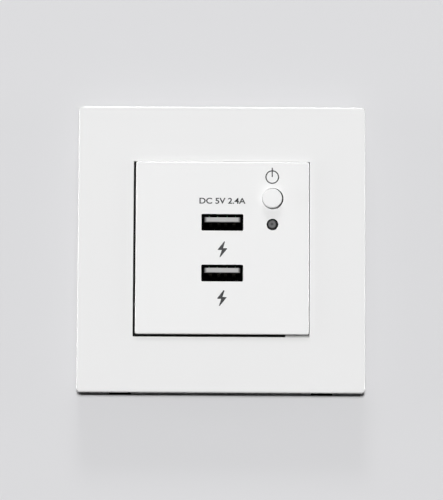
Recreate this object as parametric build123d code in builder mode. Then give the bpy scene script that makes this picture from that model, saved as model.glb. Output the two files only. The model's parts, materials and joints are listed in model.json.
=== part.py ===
import os

from build123d import *

os.makedirs("parts", exist_ok=True)

# USB wall socket for a square wall box, in millimetres.
# The wall is the plane y = 0, the front faces -Y and +Z is up. The origin lies midway between the
# two fixing slots. A "front" is a height in front of the wall, a "depth" is a distance behind it.

# Trim frame
frame_width = 86.0
frame_front = 9.0
frame_wall = 2.0
frame_skirt = 1.8
frame_corner = 1.2
frame_edge = 0.5
frame_standoff = 0.8
window_rim = 1.5
window_edge = 0.1
rim_clearance = 0.3
notch_width = 6.6
notch_rise = 0.6
notch_cover = 0.5
ledge_length = 7.2
ledge_setback = 1.5
ledge_clearance = 0.1

# Clip hooks of the frame
hook_width = 6.0
hook_thickness = 1.4
hook_barb = 0.7
hook_inset = 4.4
hook_tip_front = 0.7
hook_side_clearance = 0.5
hook_catch_clearance = 0.1
hook_edge_clearance = 0.25

# Mounting plate
plate_clearance = 0.6
plate_front = 4.0
plate_web = 1.8
plate_rim = 1.8
plate_corner = 1.5
plate_rib = 1.2
plate_rib_spread = 26.0
recess_front = 0.6
fixing_pitch = 60.3
slot_width = 4.2
slot_length = 6.8
slot_wall = 1.6

# Insert: the front panel, which sits a little high and to the right in the frame's window
panel_width = 51.8
panel_clearance = 0.45
panel_x = 0.25
panel_z = 0.3
panel_proud = 0.8
panel_wall = 2.0
panel_skirt = 1.6
panel_corner = 0.5
panel_edge = 0.35
rest_width = 5.0
rest_inset = 1.6
pillar_width = 3.6
pillar_rib = 1.2

# Snap legs of the panel, which catch in windows of the housing
snap_width = 6.0
snap_thickness = 1.4
snap_spread = 18.0
snap_play = 0.15
snap_barb = 0.9
snap_catch_depth = 0.4
snap_barb_length = 3.0
snap_catch_clearance = 0.05
snap_side_clearance = 0.3

# Rear housing
housing_clearance = 0.3
housing_wall = 1.8
housing_front = 4.2
housing_depth = 27.0
housing_floor = 2.0
housing_corner = 1.2
housing_edge = 0.8
window_clearance = 0.5
rib_width = 3.0
rib_height = 1.4
side_rib_z = 3.0
foot_rib_x = 14.5
vent_width = 1.4
vent_pitch = 3.6
vent_count = 7
rear_vent_length = 14.0
rear_vent_z = 6.0
top_vent_length = 8.0
top_vent_depth = 14.0
catch_width = 5.0
catch_spread = 24.0
catch_reach = 1.2
catch_clearance = 0.2
catch_land = 0.8
catch_length = 3.2
slit_width = 0.7
slit_room = 0.8
slit_length = 9.0

# Boards
board_thickness = 1.6
board_clearance = 0.4
front_board_depth = 6.1
power_board_foot = 0.8
standoff_height = 2.2
standoff_width = 4.4
peg_width = 1.8
peg_head_width = 3.0
peg_head = 0.7
notch_clearance = 0.3
pin_clearance = 0.1

# Charging ports
port_pitch = 15.24
port_width = 12.5
port_height = 5.05
port_corner = 0.25
shell_wall = 0.3
shell_height = 5.12
shell_corner = 0.3
shell_setback = 0.2
leaf_width = 2.0
leaf_length = 5.6
leaf_slot = 0.45
leaf_dip = 0.42
leaf_pitch = 5.4
leaf_setback = 2.2
leg_width = 1.6
tongue_width = 11.1
tongue_thickness = 1.84
tongue_drop = 0.55
tongue_setback = 3.2
tongue_nose = 0.2
base_length = 5.1
base_clearance = 0.1
contact_offsets = [-3.5, -1.0, 1.0, 3.5]
contact_width = 1.0
contact_thickness = 0.25
contact_clearance = 0.05
contact_setback = 0.8
contact_rise = 3.6
contact_bow = 0.55
lead_length = 1.0

# Button and switch
button_inset_x = 10.87
button_inset_z = 11.07
button_lean_x = -0.2
button_lean_z = -0.1
button_radius = 2.85
button_clearance = 0.35
button_proud = 1.5
button_edge = 0.45
button_travel = 1.5
button_flange = 0.95
button_flange_thickness = 1.0
button_tab = 4.0
button_neck = 4.8
button_stop = 0.4
switch_width = 5.8
switch_height = 7.6
switch_wall = 0.7
switch_lid = 1.0
switch_base = 0.8
stem_width = 2.8
stem_clearance = 0.1
stem_grip = 2.6
collar_thickness = 1.2
collar_play = 0.05
collar_clearance = 0.1
spring_wire = 0.36
spring_turns = 2
spring_clearance = 0.02
switch_pin_width = 0.6
switch_pin_thickness = 0.3
switch_pin_pitch = 2.0
switch_row_pitch = 4.0

# Indicator lamp
lamp_inset_x = 10.95
lamp_drop = 7.78
lamp_radius = 1.5
lamp_dome = 0.3
lamp_clearance = 0.25
lamp_setback = 0.35
lamp_length = 5.2
lamp_spacer_width = 3.8
lamp_lead = 0.5
lamp_lead_pitch = 2.54

# Parts on the boards, with places and sizes for a housing that is layout_width wide inside
layout_width = 44.4
pillar_points = [(-17.0, 10.0), (-17.0, -12.0), (17.0, -12.0)]
controller_size = (5.0, 4.0, 1.5)
controller_at = (-13.0, 0.0)
controller_edge = 0.3
resistor_size = (2.0, 1.25, 0.55)
resistor_points = [(-13.0, 6.0), (-13.0, -6.0), (11.0, 1.0), (11.0, -3.0), (11.0, -7.0), (-10.5, 13.0)]

# Header that links the two boards
header_inset = 3.2
header_z = 3.6
header_pitch = 2.54
header_count = 4
header_width = 2.5
header_height = 2.5
header_pin = 0.64

# Parts on the power board, laid out in the same way
peg_points = [(-18.5, -10.3), (19.0, -10.8)]
standoff_points = [(-15.0, 17.5), (15.0, 17.5)]
core_at = (-7.5, 11.5)
core_width = 13.6
core_headroom = 1.0
core_thickness = 6.0
core_leg = 2.2
core_centre = 3.2
bobbin_clearance = 0.15
bobbin_wall = 0.7
bobbin_length = 12.0
winding_inset = 0.5
winding_corner = 1.2
coil_pin = 0.6
coil_pin_pitch = 3.0
input_radius = 4.0
input_headroom = 1.0
input_points = [(-15.5, -4.5), (-6.8, -4.5)]
output_radius = 3.15
output_headroom = 1.5
output_points = [(9.2, 10.5), (16.3, 13.2)]
film_size = (3.2, 7.0, 7.0)
film_at = (3.5, 2.0)
bridge_size = (4.7, 4.0, 2.5)
bridge_at = (0.2, -5.0)
fuse_radius = 1.5
fuse_length = 9.0
fuse_at = (7.8, -6.5)
choke_radius = 3.0
choke_height = 8.0
choke_at = (16.0, -5.2)
chip_size = (5.0, 4.0, 1.6)
chip_at = (10.0, 1.5)
chip_edge = 0.3

# Terminals with rising clamps
terminal_pitch = 11.0
block_width = 20.2
block_lip = 1.2
block_fit = 0.15
block_seat = 0.05
block_roof = 1.2
wire_setback = 4.3
wire_radius = 2.0
wire_room = 3.2
wire_wall = 3.8
wire_lip = 1.2
cage_width = 6.4
cage_height = 5.0
cage_side = 1.0
cage_jaw = 1.2
cage_nut = 1.6
cage_clearance = 0.2
clamp_travel = 2.5
clamp_play = 0.4
bar_thickness = 1.0
bar_width = 4.0
bar_clearance = 0.15
bar_rise = 3.2
bar_tail = 1.4
terminal_screw_radius = 1.5
terminal_screw_play = 0.06
terminal_shank_play = 0.15
terminal_screw_gap = 0.05
terminal_head_radius = 2.3
terminal_head = 2.0
terminal_head_clearance = 0.2
terminal_slot_width = 0.8
terminal_slot_depth = 0.9
shoulder_thickness = 1.8

# Sizes worked out from the ones above
window_width = panel_width + 2 * panel_clearance
rim_back = plate_front + rim_clearance
plate_width = frame_width - 2 * (frame_skirt + plate_clearance)
web_back = plate_front - plate_web
hook_x = fixing_pitch / 2
hook_z = plate_width / 2 - hook_inset
panel_front = frame_front + panel_proud
panel_inner = panel_front - panel_wall
panel_hollow = panel_width - 2 * panel_skirt
housing_width = panel_hollow - 2 * housing_clearance
housing_hollow = housing_width - 2 * housing_wall
plate_window = housing_width + 2 * window_clearance
inner_depth = housing_depth - housing_floor
share = housing_hollow / layout_width
rest_offset = housing_hollow / 2 - rest_inset
snap_outer = housing_hollow / 2 - snap_play
board_width = housing_hollow - 2 * board_clearance
front_board_rear = front_board_depth + board_thickness
power_board_rear = inner_depth - standoff_height
power_board_depth = power_board_rear - board_thickness
part_room = power_board_depth - front_board_rear - lead_length
shell_front = panel_inner - shell_setback
shell_outer_width = port_width + 2 * shell_wall
shell_outer_height = shell_height + 2 * shell_wall
tongue_front = panel_front - tongue_setback
tongue_top = port_height / 2 - tongue_drop
tongue_bottom = tongue_top - tongue_thickness
base_front = base_length - front_board_depth
contact_front = tongue_front - contact_setback
button_x = panel_width / 2 - button_inset_x
button_z = panel_width / 2 - button_inset_z
cap_x = button_x + button_lean_x
cap_z = button_z + button_lean_z
button_front = panel_front + button_proud
flange_width = 2 * (button_radius + button_clearance + button_flange)
switch_front = switch_height - front_board_depth
neck_end = switch_front + button_travel + button_stop
stem_front = neck_end + stem_grip
collar_front = switch_front - switch_lid - collar_play
collar_back = collar_front - collar_thickness
switch_hollow = switch_width - 2 * switch_wall
collar_width = switch_hollow - 2 * collar_clearance
spring_back = switch_base - front_board_depth
lamp_x = panel_width / 2 - lamp_inset_x
lamp_z = button_z - lamp_drop
lamp_front = panel_front - lamp_setback
lamp_back = lamp_front - lamp_length
dome_radius = (lamp_radius**2 + lamp_dome**2) / (2 * lamp_dome)
header_x = board_width / 2 - header_inset
block_bottom = -housing_width / 2
cage_bottom = block_bottom + wire_wall + cage_clearance
chamber_bottom = block_bottom + wire_wall
chamber_height = cage_height + 2 * cage_clearance
chamber_width = cage_width + 2 * cage_clearance
terminal_z = chamber_bottom + chamber_height / 2
block_top = chamber_bottom + chamber_height + block_roof
wire_depth = front_board_rear + wire_setback
jaw_inner_depth = wire_depth - wire_room / 2
bar_front_depth = wire_depth + wire_room / 2
bar_rear_depth = bar_front_depth + bar_thickness
jaw_outer_depth = jaw_inner_depth - cage_jaw
nut_front_depth = bar_rear_depth + clamp_play
nut_rear_depth = nut_front_depth + cage_nut
block_front_depth = wire_depth - wire_radius - wire_lip
chamber_rear_depth = nut_rear_depth + clamp_travel + 2 * clamp_play
shoulder_depth = chamber_rear_depth + shoulder_thickness
bar_top = block_top + bar_rise
power_board_bottom = block_top + power_board_foot
terminals = (("line", -terminal_pitch / 2), ("neutral", terminal_pitch / 2))
ports = (("upper", port_pitch / 2), ("lower", -port_pitch / 2))


def wall_plane(front):
    """Plane parallel to the wall, centred on the frame: x to the right, y up."""
    return Plane(origin=(0, -front, 0), x_dir=(1, 0, 0), z_dir=(0, -1, 0))


def insert_plane(front):
    """Plane parallel to the wall, centred on the insert: x to the right, y up."""
    return Plane(origin=(panel_x, -front, panel_z), x_dir=(1, 0, 0), z_dir=(0, -1, 0))


def side_plane(x):
    """Upright plane across the insert at x: its own x is the front height, its y is up."""
    return Plane(origin=(panel_x + x, 0, panel_z), x_dir=(0, -1, 0), z_dir=(-1, 0, 0))


def level_plane(z):
    """Level plane through the insert at z: its own x is to the right, its y is the depth."""
    return Plane(origin=(panel_x, 0, panel_z + z), x_dir=(1, 0, 0), z_dir=(0, 0, 1))


def spread(*points):
    """Places on a board, which move with the housing's inner width."""
    return [(share * x, share * z) for x, z in points]


# Trim frame
with BuildPart() as cover_frame:
    with BuildSketch(wall_plane(frame_standoff)):
        RectangleRounded(frame_width, frame_width, frame_corner)
    extrude(amount=frame_front - frame_standoff)
    fillet(cover_frame.faces().sort_by(Axis.Y)[0].edges(), frame_edge)
    with BuildSketch(wall_plane(frame_standoff)):
        Rectangle(frame_width - 2 * frame_skirt, frame_width - 2 * frame_skirt)
        Rectangle(window_width + 2 * window_rim, window_width + 2 * window_rim, mode=Mode.SUBTRACT)
    extrude(amount=frame_front - frame_wall - frame_standoff, mode=Mode.SUBTRACT)
    with BuildSketch(wall_plane(frame_standoff)):
        Rectangle(window_width + 2 * window_rim, window_width + 2 * window_rim)
    extrude(amount=rim_back - frame_standoff, mode=Mode.SUBTRACT)
    with BuildSketch(wall_plane(rim_back)):
        Rectangle(window_width, window_width)
    extrude(amount=frame_front - rim_back, mode=Mode.SUBTRACT)
    chamfer(cover_frame.faces().sort_by(Axis.Y)[0].inner_wires()[0].edges(), window_edge)

    # Locating ledge in the lower right corner of the window
    ledge_height = panel_clearance + panel_z - ledge_clearance
    with BuildSketch(wall_plane(rim_back)):
        with Locations((window_width / 2, -window_width / 2)):
            Rectangle(ledge_length, ledge_height, align=(Align.MAX, Align.MIN))
    extrude(amount=frame_front - ledge_setback - rim_back)

    # Clip hooks that pass through the plate and catch behind it
    for side in (1, -1):
        for x in (-hook_x, hook_x):
            catch = web_back - hook_catch_clearance
            with BuildSketch(Plane(origin=(x, 0, 0), x_dir=(0, -1, 0), z_dir=(-1, 0, 0))):
                with BuildLine():
                    Polyline(
                        (frame_front - frame_wall, side * (hook_z - hook_thickness)),
                        (frame_front - frame_wall, side * hook_z),
                        (catch, side * hook_z),
                        (catch, side * (hook_z + hook_barb)),
                        (hook_tip_front, side * (hook_z - hook_thickness / 3)),
                        (hook_tip_front, side * (hook_z - hook_thickness)),
                        close=True,
                    )
                make_face()
            extrude(amount=hook_width / 2, both=True)

    # Pry notches in the lower edge
    with BuildSketch(wall_plane(frame_standoff)):
        with Locations((-hook_x, -frame_width / 2), (hook_x, -frame_width / 2)):
            Rectangle(notch_width, notch_rise, align=(Align.CENTER, Align.MIN))
    extrude(amount=frame_front - notch_cover - frame_standoff, mode=Mode.SUBTRACT)
cover_frame.part.label = "cover_frame"
export_step(cover_frame.part, "parts/cover_frame.step")

# Mounting plate: a web with a rim that stands on the wall and two slotted fixing bosses
with BuildPart() as mounting_plate:
    with BuildSketch(wall_plane(0)) as plate_outline:
        Rectangle(plate_width, plate_width)
        chamfer(plate_outline.vertices(), plate_corner)
    extrude(amount=plate_front)
    with BuildSketch(wall_plane(0)):
        Rectangle(plate_width - 2 * plate_rim, plate_width - 2 * plate_rim)
    extrude(amount=web_back, mode=Mode.SUBTRACT)
    with BuildSketch(wall_plane(recess_front)):
        Rectangle(plate_window + 2 * plate_rim, plate_window + 2 * plate_rim)
        with GridLocations(plate_rib_spread, 0, 2, 1):
            Rectangle(plate_rib, plate_width - plate_rim)
        with GridLocations(0, plate_rib_spread, 1, 2):
            Rectangle(plate_width - plate_rim, plate_rib)
    extrude(amount=web_back - recess_front)
    with BuildSketch(wall_plane(0)):
        with GridLocations(fixing_pitch, 0, 2, 1):
            Rectangle(slot_length + 2 * slot_wall, slot_width + 2 * slot_wall)
    extrude(amount=web_back)
    with BuildSketch(wall_plane(0)):
        Rectangle(plate_window, plate_window)
        with GridLocations(fixing_pitch, 0, 2, 1):
            SlotOverall(slot_length, slot_width)
    extrude(amount=plate_front, mode=Mode.SUBTRACT)
    hole_height = hook_edge_clearance + hook_thickness + hook_barb + hook_edge_clearance
    with BuildSketch(wall_plane(0)):
        for side in (1, -1):
            hole_middle = side * (hook_z + hook_edge_clearance - hole_height / 2)
            with Locations((-hook_x, hole_middle), (hook_x, hole_middle)):
                Rectangle(hook_width + 2 * hook_side_clearance, hole_height)
    extrude(amount=plate_front, mode=Mode.SUBTRACT)
mounting_plate.part.label = "mounting_plate"
export_step(mounting_plate.part, "parts/mounting_plate.step")

# Front panel: the insert with its skirt, corner rests, board pillars and snap legs
with BuildPart() as front_panel:
    with BuildSketch(insert_plane(plate_front)):
        RectangleRounded(panel_width, panel_width, panel_corner)
    extrude(amount=panel_front - plate_front)
    fillet(front_panel.faces().sort_by(Axis.Y)[0].edges(), panel_edge)
    with BuildSketch(insert_plane(plate_front)):
        Rectangle(panel_hollow, panel_hollow)
    extrude(amount=panel_inner - plate_front, mode=Mode.SUBTRACT)
    with BuildSketch(insert_plane(panel_inner)):
        with GridLocations(2 * rest_offset, 2 * rest_offset, 2, 2):
            Rectangle(rest_width, rest_width)
    extrude(amount=housing_front - panel_inner)
    with BuildSketch(insert_plane(panel_inner)):
        with Locations(*spread(*pillar_points)):
            Rectangle(pillar_width, pillar_rib)
            Rectangle(pillar_rib, pillar_width)
    extrude(amount=-front_board_depth - panel_inner)
    for side in (1, -1):
        for x in (-snap_spread / 2, snap_spread / 2):
            with BuildSketch(side_plane(x)):
                with BuildLine():
                    Polyline(
                        (panel_inner, side * (snap_outer - snap_thickness)),
                        (panel_inner, side * snap_outer),
                        (-snap_catch_depth, side * snap_outer),
                        (-snap_catch_depth, side * (snap_outer + snap_barb)),
                        (-snap_catch_depth - snap_barb_length, side * (snap_outer - snap_thickness / 3)),
                        (-snap_catch_depth - snap_barb_length, side * (snap_outer - snap_thickness)),
                        close=True,
                    )
                make_face()
            extrude(amount=snap_width / 2, both=True)
    with BuildSketch(insert_plane(panel_inner)) as panel_openings:
        with GridLocations(0, port_pitch, 1, 2):
            Rectangle(port_width, port_height)
        chamfer(panel_openings.vertices(), port_corner)
        with Locations((button_x, button_z)):
            Circle(button_radius + button_clearance)
        with Locations((lamp_x, lamp_z)):
            Circle(lamp_radius + lamp_clearance)
    extrude(amount=panel_wall, mode=Mode.SUBTRACT)
front_panel.part.label = "front_panel"
export_step(front_panel.part, "parts/front_panel.step")

# Rear housing: a box open to the front, with board ribs, vents, snap windows and side catches
with BuildPart() as rear_housing:
    with BuildSketch(insert_plane(housing_front)) as housing_outline:
        Rectangle(housing_width, housing_width)
        chamfer(housing_outline.vertices(), housing_corner)
    extrude(amount=-housing_depth - housing_front)
    chamfer(rear_housing.faces().sort_by(Axis.Y)[-1].edges(), housing_edge)
    with BuildSketch(insert_plane(housing_front)):
        Rectangle(housing_hollow, housing_hollow)
    extrude(amount=-inner_depth - housing_front, mode=Mode.SUBTRACT)

    # Ribs that carry the front board, standoffs that carry the power board, and two staked pegs
    rib_reach = housing_hollow / 2
    with BuildSketch(insert_plane(-front_board_rear)):
        with Locations((-rib_reach, side_rib_z)):
            Rectangle(rib_height, rib_width, align=(Align.MIN, Align.CENTER))
        with Locations((rib_reach, side_rib_z)):
            Rectangle(rib_height, rib_width, align=(Align.MAX, Align.CENTER))
        with Locations((0, rib_reach)):
            Rectangle(rib_width, rib_height, align=(Align.CENTER, Align.MAX))
        with Locations((-share * foot_rib_x, -rib_reach), (share * foot_rib_x, -rib_reach)):
            Rectangle(rib_width, rib_height, align=(Align.CENTER, Align.MIN))
    extrude(amount=front_board_rear - inner_depth)
    with BuildSketch(insert_plane(-power_board_rear)):
        with Locations(*spread(*peg_points, *standoff_points)):
            Rectangle(standoff_width, standoff_width)
    extrude(amount=-standoff_height)
    with BuildSketch(insert_plane(-power_board_rear)):
        with Locations(*spread(*peg_points)):
            Rectangle(peg_width, peg_width)
    extrude(amount=board_thickness)
    with BuildSketch(insert_plane(-power_board_depth)):
        with Locations(*spread(*peg_points)):
            Rectangle(peg_head_width, peg_head_width)
    extrude(amount=peg_head)

    # Side catches behind the mounting plate, each on a tongue with a slit round it
    for side in (1, -1):
        for z in (-catch_spread / 2, catch_spread / 2):
            catch_front = recess_front - catch_clearance
            with BuildSketch(level_plane(z)):
                with BuildLine():
                    Polyline(
                        (side * housing_width / 2, -catch_front),
                        (side * (housing_width / 2 + catch_reach), -catch_front),
                        (side * (housing_width / 2 + catch_reach), catch_land - catch_front),
                        (side * housing_width / 2, catch_land + catch_length - catch_front),
                        close=True,
                    )
                make_face()
            extrude(amount=catch_width / 2, both=True)
            slit_front = catch_front + slit_room + slit_width
            slit_span = catch_width + 2 * slit_room
            slit_side = Plane(
                origin=(panel_x + side * housing_width / 2, -slit_front, panel_z + z),
                x_dir=(0, 1, 0),
                z_dir=(side, 0, 0),
            )
            with BuildSketch(slit_side):
                Rectangle(slit_width, slit_span + 2 * slit_width, align=(Align.MIN, Align.CENTER))
                with GridLocations(0, slit_span + slit_width, 1, 2):
                    Rectangle(slit_length, slit_width, align=(Align.MIN, Align.CENTER))
            extrude(amount=-housing_wall, mode=Mode.SUBTRACT)

    # Windows for the panel's snap legs
    snap_window_depth = snap_catch_depth - snap_catch_clearance
    for side in (1, -1):
        with BuildSketch(level_plane(side * housing_width / 2)):
            with Locations(*[(x, snap_window_depth) for x in (-snap_spread / 2, snap_spread / 2)]):
                Rectangle(
                    snap_width + 2 * snap_side_clearance,
                    snap_barb_length,
                    align=(Align.CENTER, Align.MIN),
                )
        extrude(amount=-side * housing_wall, mode=Mode.SUBTRACT)

    # Cut-out over the lower rear edge for the terminal block
    cut_front = block_front_depth - block_fit
    with BuildSketch(insert_plane(-cut_front)):
        with Locations((0, -housing_width / 2)):
            cut_height = block_top - block_lip + block_fit - block_bottom
            Rectangle(block_width + 2 * block_fit, cut_height, align=(Align.CENTER, Align.MIN))
    extrude(amount=cut_front - housing_depth, mode=Mode.SUBTRACT)

    # Vents in the rear and top walls
    with BuildSketch(insert_plane(-inner_depth)):
        with Locations((0, rear_vent_z)):
            with GridLocations(vent_pitch, 0, vent_count, 1):
                Rectangle(vent_width, rear_vent_length)
    extrude(amount=-housing_floor, mode=Mode.SUBTRACT)
    with BuildSketch(level_plane(housing_width / 2)):
        with Locations((0, top_vent_depth)):
            with GridLocations(vent_pitch, 0, vent_count, 1):
                Rectangle(vent_width, top_vent_length)
        with Locations((0, top_vent_depth)):
            Rectangle(rib_width + 2 * vent_width, top_vent_length + vent_width, mode=Mode.SUBTRACT)
    extrude(amount=-housing_wall, mode=Mode.SUBTRACT)
rear_housing.part.label = "rear_housing"
export_step(rear_housing.part, "parts/rear_housing.step")

# Front board
with BuildPart() as front_board:
    with BuildSketch(insert_plane(-front_board_depth)):
        Rectangle(board_width, board_width)
        with Locations((cap_x, cap_z)):
            with GridLocations(switch_pin_pitch, switch_row_pitch, 3, 2):
                Rectangle(
                    switch_pin_width + 2 * pin_clearance,
                    switch_pin_thickness + 2 * pin_clearance,
                    mode=Mode.SUBTRACT,
                )
        with Locations((lamp_x, lamp_z)):
            with GridLocations(lamp_lead_pitch, 0, 2, 1):
                Rectangle(
                    lamp_lead + 2 * pin_clearance, lamp_lead + 2 * pin_clearance, mode=Mode.SUBTRACT
                )
        with Locations((header_x, header_z)):
            with GridLocations(0, header_pitch, 1, header_count):
                Rectangle(
                    header_pin + 2 * pin_clearance,
                    header_pin + 2 * pin_clearance,
                    mode=Mode.SUBTRACT,
                )
        for _, port_z in ports:
            with Locations((0, port_z + tongue_bottom - contact_thickness / 2)):
                Rectangle(
                    contact_offsets[-1] - contact_offsets[0] + contact_width + 2 * pin_clearance,
                    contact_thickness + 2 * pin_clearance,
                    mode=Mode.SUBTRACT,
                )
            with Locations((0, port_z)):
                with GridLocations(shell_outer_width - shell_wall, 0, 2, 1):
                    Rectangle(
                        shell_wall + 2 * pin_clearance,
                        leg_width + 2 * pin_clearance,
                        mode=Mode.SUBTRACT,
                    )
    extrude(amount=-board_thickness)
front_board.part.label = "front_board"
export_step(front_board.part, "parts/front_board.step")

# Charging ports: shell, moulded tongue and sprung contacts, once for each port
for name, port_z in ports:
    with BuildPart() as usb_shell:
        with BuildSketch(insert_plane(shell_front)) as shell_outline:
            with Locations((0, port_z)):
                Rectangle(shell_outer_width, shell_outer_height)
                chamfer(shell_outline.vertices(), shell_corner)
                Rectangle(port_width, shell_height, mode=Mode.SUBTRACT)
        extrude(amount=-front_board_depth - shell_front)
        with BuildSketch(insert_plane(-front_board_depth)):
            with Locations((0, port_z)):
                with GridLocations(shell_outer_width - shell_wall, 0, 2, 1):
                    Rectangle(shell_wall, leg_width)
        extrude(amount=-board_thickness - lead_length)
        leaf_front = shell_front - leaf_setback
        with BuildSketch(Plane(origin=(panel_x, 0, panel_z + port_z), z_dir=(0, 0, 1))):
            with Locations((0, leaf_length / 2 - leaf_front)):
                with GridLocations(leaf_pitch, 0, 2, 1):
                    Rectangle(leaf_width + 2 * leaf_slot, leaf_length)
        extrude(amount=shell_outer_height / 2, both=True, mode=Mode.SUBTRACT)
        for side in (1, -1):
            for x in (-leaf_pitch / 2, leaf_pitch / 2):
                leaf_outer = port_z + side * shell_outer_height / 2
                leaf_inner = port_z + side * shell_height / 2
                with BuildSketch(side_plane(x)):
                    with BuildLine():
                        Polyline(
                            (leaf_front - leaf_length, leaf_outer),
                            (leaf_front - leaf_length, leaf_inner),
                            (leaf_front - leaf_slot - leaf_length / 4, leaf_inner - side * leaf_dip),
                            (leaf_front - leaf_slot, leaf_inner),
                            (leaf_front - leaf_slot, leaf_outer),
                            (leaf_front - leaf_slot - leaf_length / 4, leaf_outer - side * leaf_dip),
                            close=True,
                        )
                    make_face()
                extrude(amount=leaf_width / 2, both=True)
    usb_shell.part.label = "usb_shell_" + name
    export_step(usb_shell.part, "parts/usb_shell_" + name + ".step")

    with BuildPart() as usb_tongue:
        with BuildSketch(insert_plane(-front_board_depth)):
            with Locations((0, port_z)):
                Rectangle(port_width - 2 * base_clearance, shell_height - 2 * base_clearance)
        extrude(amount=base_length)
        with BuildSketch(insert_plane(base_front)):
            with Locations((0, port_z + tongue_bottom)):
                Rectangle(tongue_width, tongue_thickness, align=(Align.CENTER, Align.MIN))
        extrude(amount=tongue_front - base_front)
        chamfer(usb_tongue.faces().sort_by(Axis.Y)[0].edges(), tongue_nose)
        slot_top = port_z + tongue_bottom + contact_clearance
        slot_height = contact_thickness + 2 * contact_clearance
        with BuildSketch(insert_plane(-front_board_depth)):
            with Locations(*[(x, slot_top) for x in contact_offsets]):
                Rectangle(
                    contact_width + 2 * contact_clearance,
                    slot_height,
                    align=(Align.CENTER, Align.MAX),
                )
        extrude(amount=contact_front + contact_clearance + front_board_depth, mode=Mode.SUBTRACT)
    usb_tongue.part.label = "usb_tongue_" + name
    export_step(usb_tongue.part, "parts/usb_tongue_" + name + ".step")

    with BuildPart() as usb_contacts:
        top = port_z + tongue_bottom
        bottom = top - contact_thickness
        bow_back = contact_front - contact_rise
        bow_middle = contact_front - contact_rise / 2
        tail = -front_board_rear - lead_length
        for x in contact_offsets:
            with BuildSketch(side_plane(x)):
                with BuildLine():
                    Polyline(
                        (tail, top),
                        (tail, bottom),
                        (bow_back, bottom),
                        (bow_middle, bottom - contact_bow),
                        (contact_front, bottom),
                        (contact_front, top),
                        (bow_middle, top - contact_bow),
                        (bow_back, top),
                        close=True,
                    )
                make_face()
            extrude(amount=contact_width / 2, both=True)
    usb_contacts.part.label = "usb_contacts_" + name
    export_step(usb_contacts.part, "parts/usb_contacts_" + name + ".step")

# Round button cap with four tabs behind the panel and a socket for the switch stem
with BuildPart() as power_button:
    with BuildSketch(insert_plane(panel_inner - collar_play)):
        with Locations((cap_x, cap_z)):
            Circle(button_radius)
    extrude(amount=button_front - panel_inner + collar_play)
    chamfer(power_button.faces().sort_by(Axis.Y)[0].edges(), button_edge)
    with BuildSketch(insert_plane(panel_inner - collar_play)):
        with Locations((cap_x, cap_z)):
            Rectangle(flange_width, button_tab)
            Rectangle(button_tab, flange_width)
    extrude(amount=-button_flange_thickness)
    with BuildSketch(insert_plane(panel_inner - collar_play - button_flange_thickness)):
        with Locations((cap_x, cap_z)):
            Rectangle(button_neck, button_neck)
    extrude(amount=neck_end - panel_inner + collar_play + button_flange_thickness)
    with BuildSketch(insert_plane(neck_end)):
        with Locations((cap_x, cap_z)):
            Rectangle(stem_width + 2 * stem_clearance, stem_width + 2 * stem_clearance)
    extrude(amount=stem_front - neck_end, mode=Mode.SUBTRACT)
power_button.part.label = "power_button"
export_step(power_button.part, "parts/power_button.step")

# Push switch: hollow body, stem with a collar, return spring and pins
with BuildPart() as switch_body:
    with BuildSketch(insert_plane(-front_board_depth)):
        with Locations((cap_x, cap_z)):
            Rectangle(switch_width, switch_width)
    extrude(amount=switch_height)
    with BuildSketch(insert_plane(spring_back)):
        with Locations((cap_x, cap_z)):
            Rectangle(switch_hollow, switch_hollow)
    extrude(amount=switch_front - switch_lid - spring_back, mode=Mode.SUBTRACT)
    with BuildSketch(insert_plane(switch_front - switch_lid)):
        with Locations((cap_x, cap_z)):
            Rectangle(stem_width + 2 * stem_clearance, stem_width + 2 * stem_clearance)
    extrude(amount=switch_lid, mode=Mode.SUBTRACT)
switch_body.part.label = "switch_body"
export_step(switch_body.part, "parts/switch_body.step")

with BuildPart() as switch_plunger:
    with BuildSketch(insert_plane(collar_back)):
        with Locations((cap_x, cap_z)):
            Rectangle(collar_width, collar_width)
    extrude(amount=collar_thickness)
    with BuildSketch(insert_plane(collar_front)):
        with Locations((cap_x, cap_z)):
            Rectangle(stem_width, stem_width)
    extrude(amount=stem_front - collar_front)
switch_plunger.part.label = "switch_plunger"
export_step(switch_plunger.part, "parts/switch_plunger.step")

with BuildPart() as switch_spring:
    coil_start = spring_back + spring_wire / 2 + spring_clearance
    coil_height = collar_back - spring_wire / 2 - spring_clearance - coil_start
    with BuildLine() as coil:
        Helix(
            pitch=coil_height / spring_turns,
            height=coil_height,
            radius=(collar_width - spring_wire) / 2,
            center=(panel_x + cap_x, -coil_start, panel_z + cap_z),
            direction=(0, -1, 0),
        )
    with BuildSketch(Plane(origin=coil.line @ 0, z_dir=coil.line % 0)):
        Rectangle(spring_wire, spring_wire)
    sweep(is_frenet=True)
switch_spring.part.label = "switch_spring"
export_step(switch_spring.part, "parts/switch_spring.step")

with BuildPart() as switch_pins:
    with BuildSketch(insert_plane(-front_board_depth)):
        with Locations((cap_x, cap_z)):
            with GridLocations(switch_pin_pitch, switch_row_pitch, 3, 2):
                Rectangle(switch_pin_width, switch_pin_thickness)
    extrude(amount=-board_thickness - lead_length)
switch_pins.part.label = "switch_pins"
export_step(switch_pins.part, "parts/switch_pins.step")

# Indicator lamp: domed lens, two leads and the spacer that holds it up to the panel
with BuildPart() as lamp_lens:
    with BuildSketch(side_plane(lamp_x)):
        with BuildLine():
            Polyline(
                (lamp_front - lamp_dome, lamp_z + lamp_radius),
                (lamp_back, lamp_z + lamp_radius),
                (lamp_back, lamp_z),
                (lamp_front, lamp_z),
            )
            RadiusArc(
                (lamp_front, lamp_z), (lamp_front - lamp_dome, lamp_z + lamp_radius), -dome_radius
            )
        make_face()
    revolve(axis=Axis((panel_x + lamp_x, 0, panel_z + lamp_z), (0, 1, 0)))
lamp_lens.part.label = "lamp_lens"
export_step(lamp_lens.part, "parts/lamp_lens.step")

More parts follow.
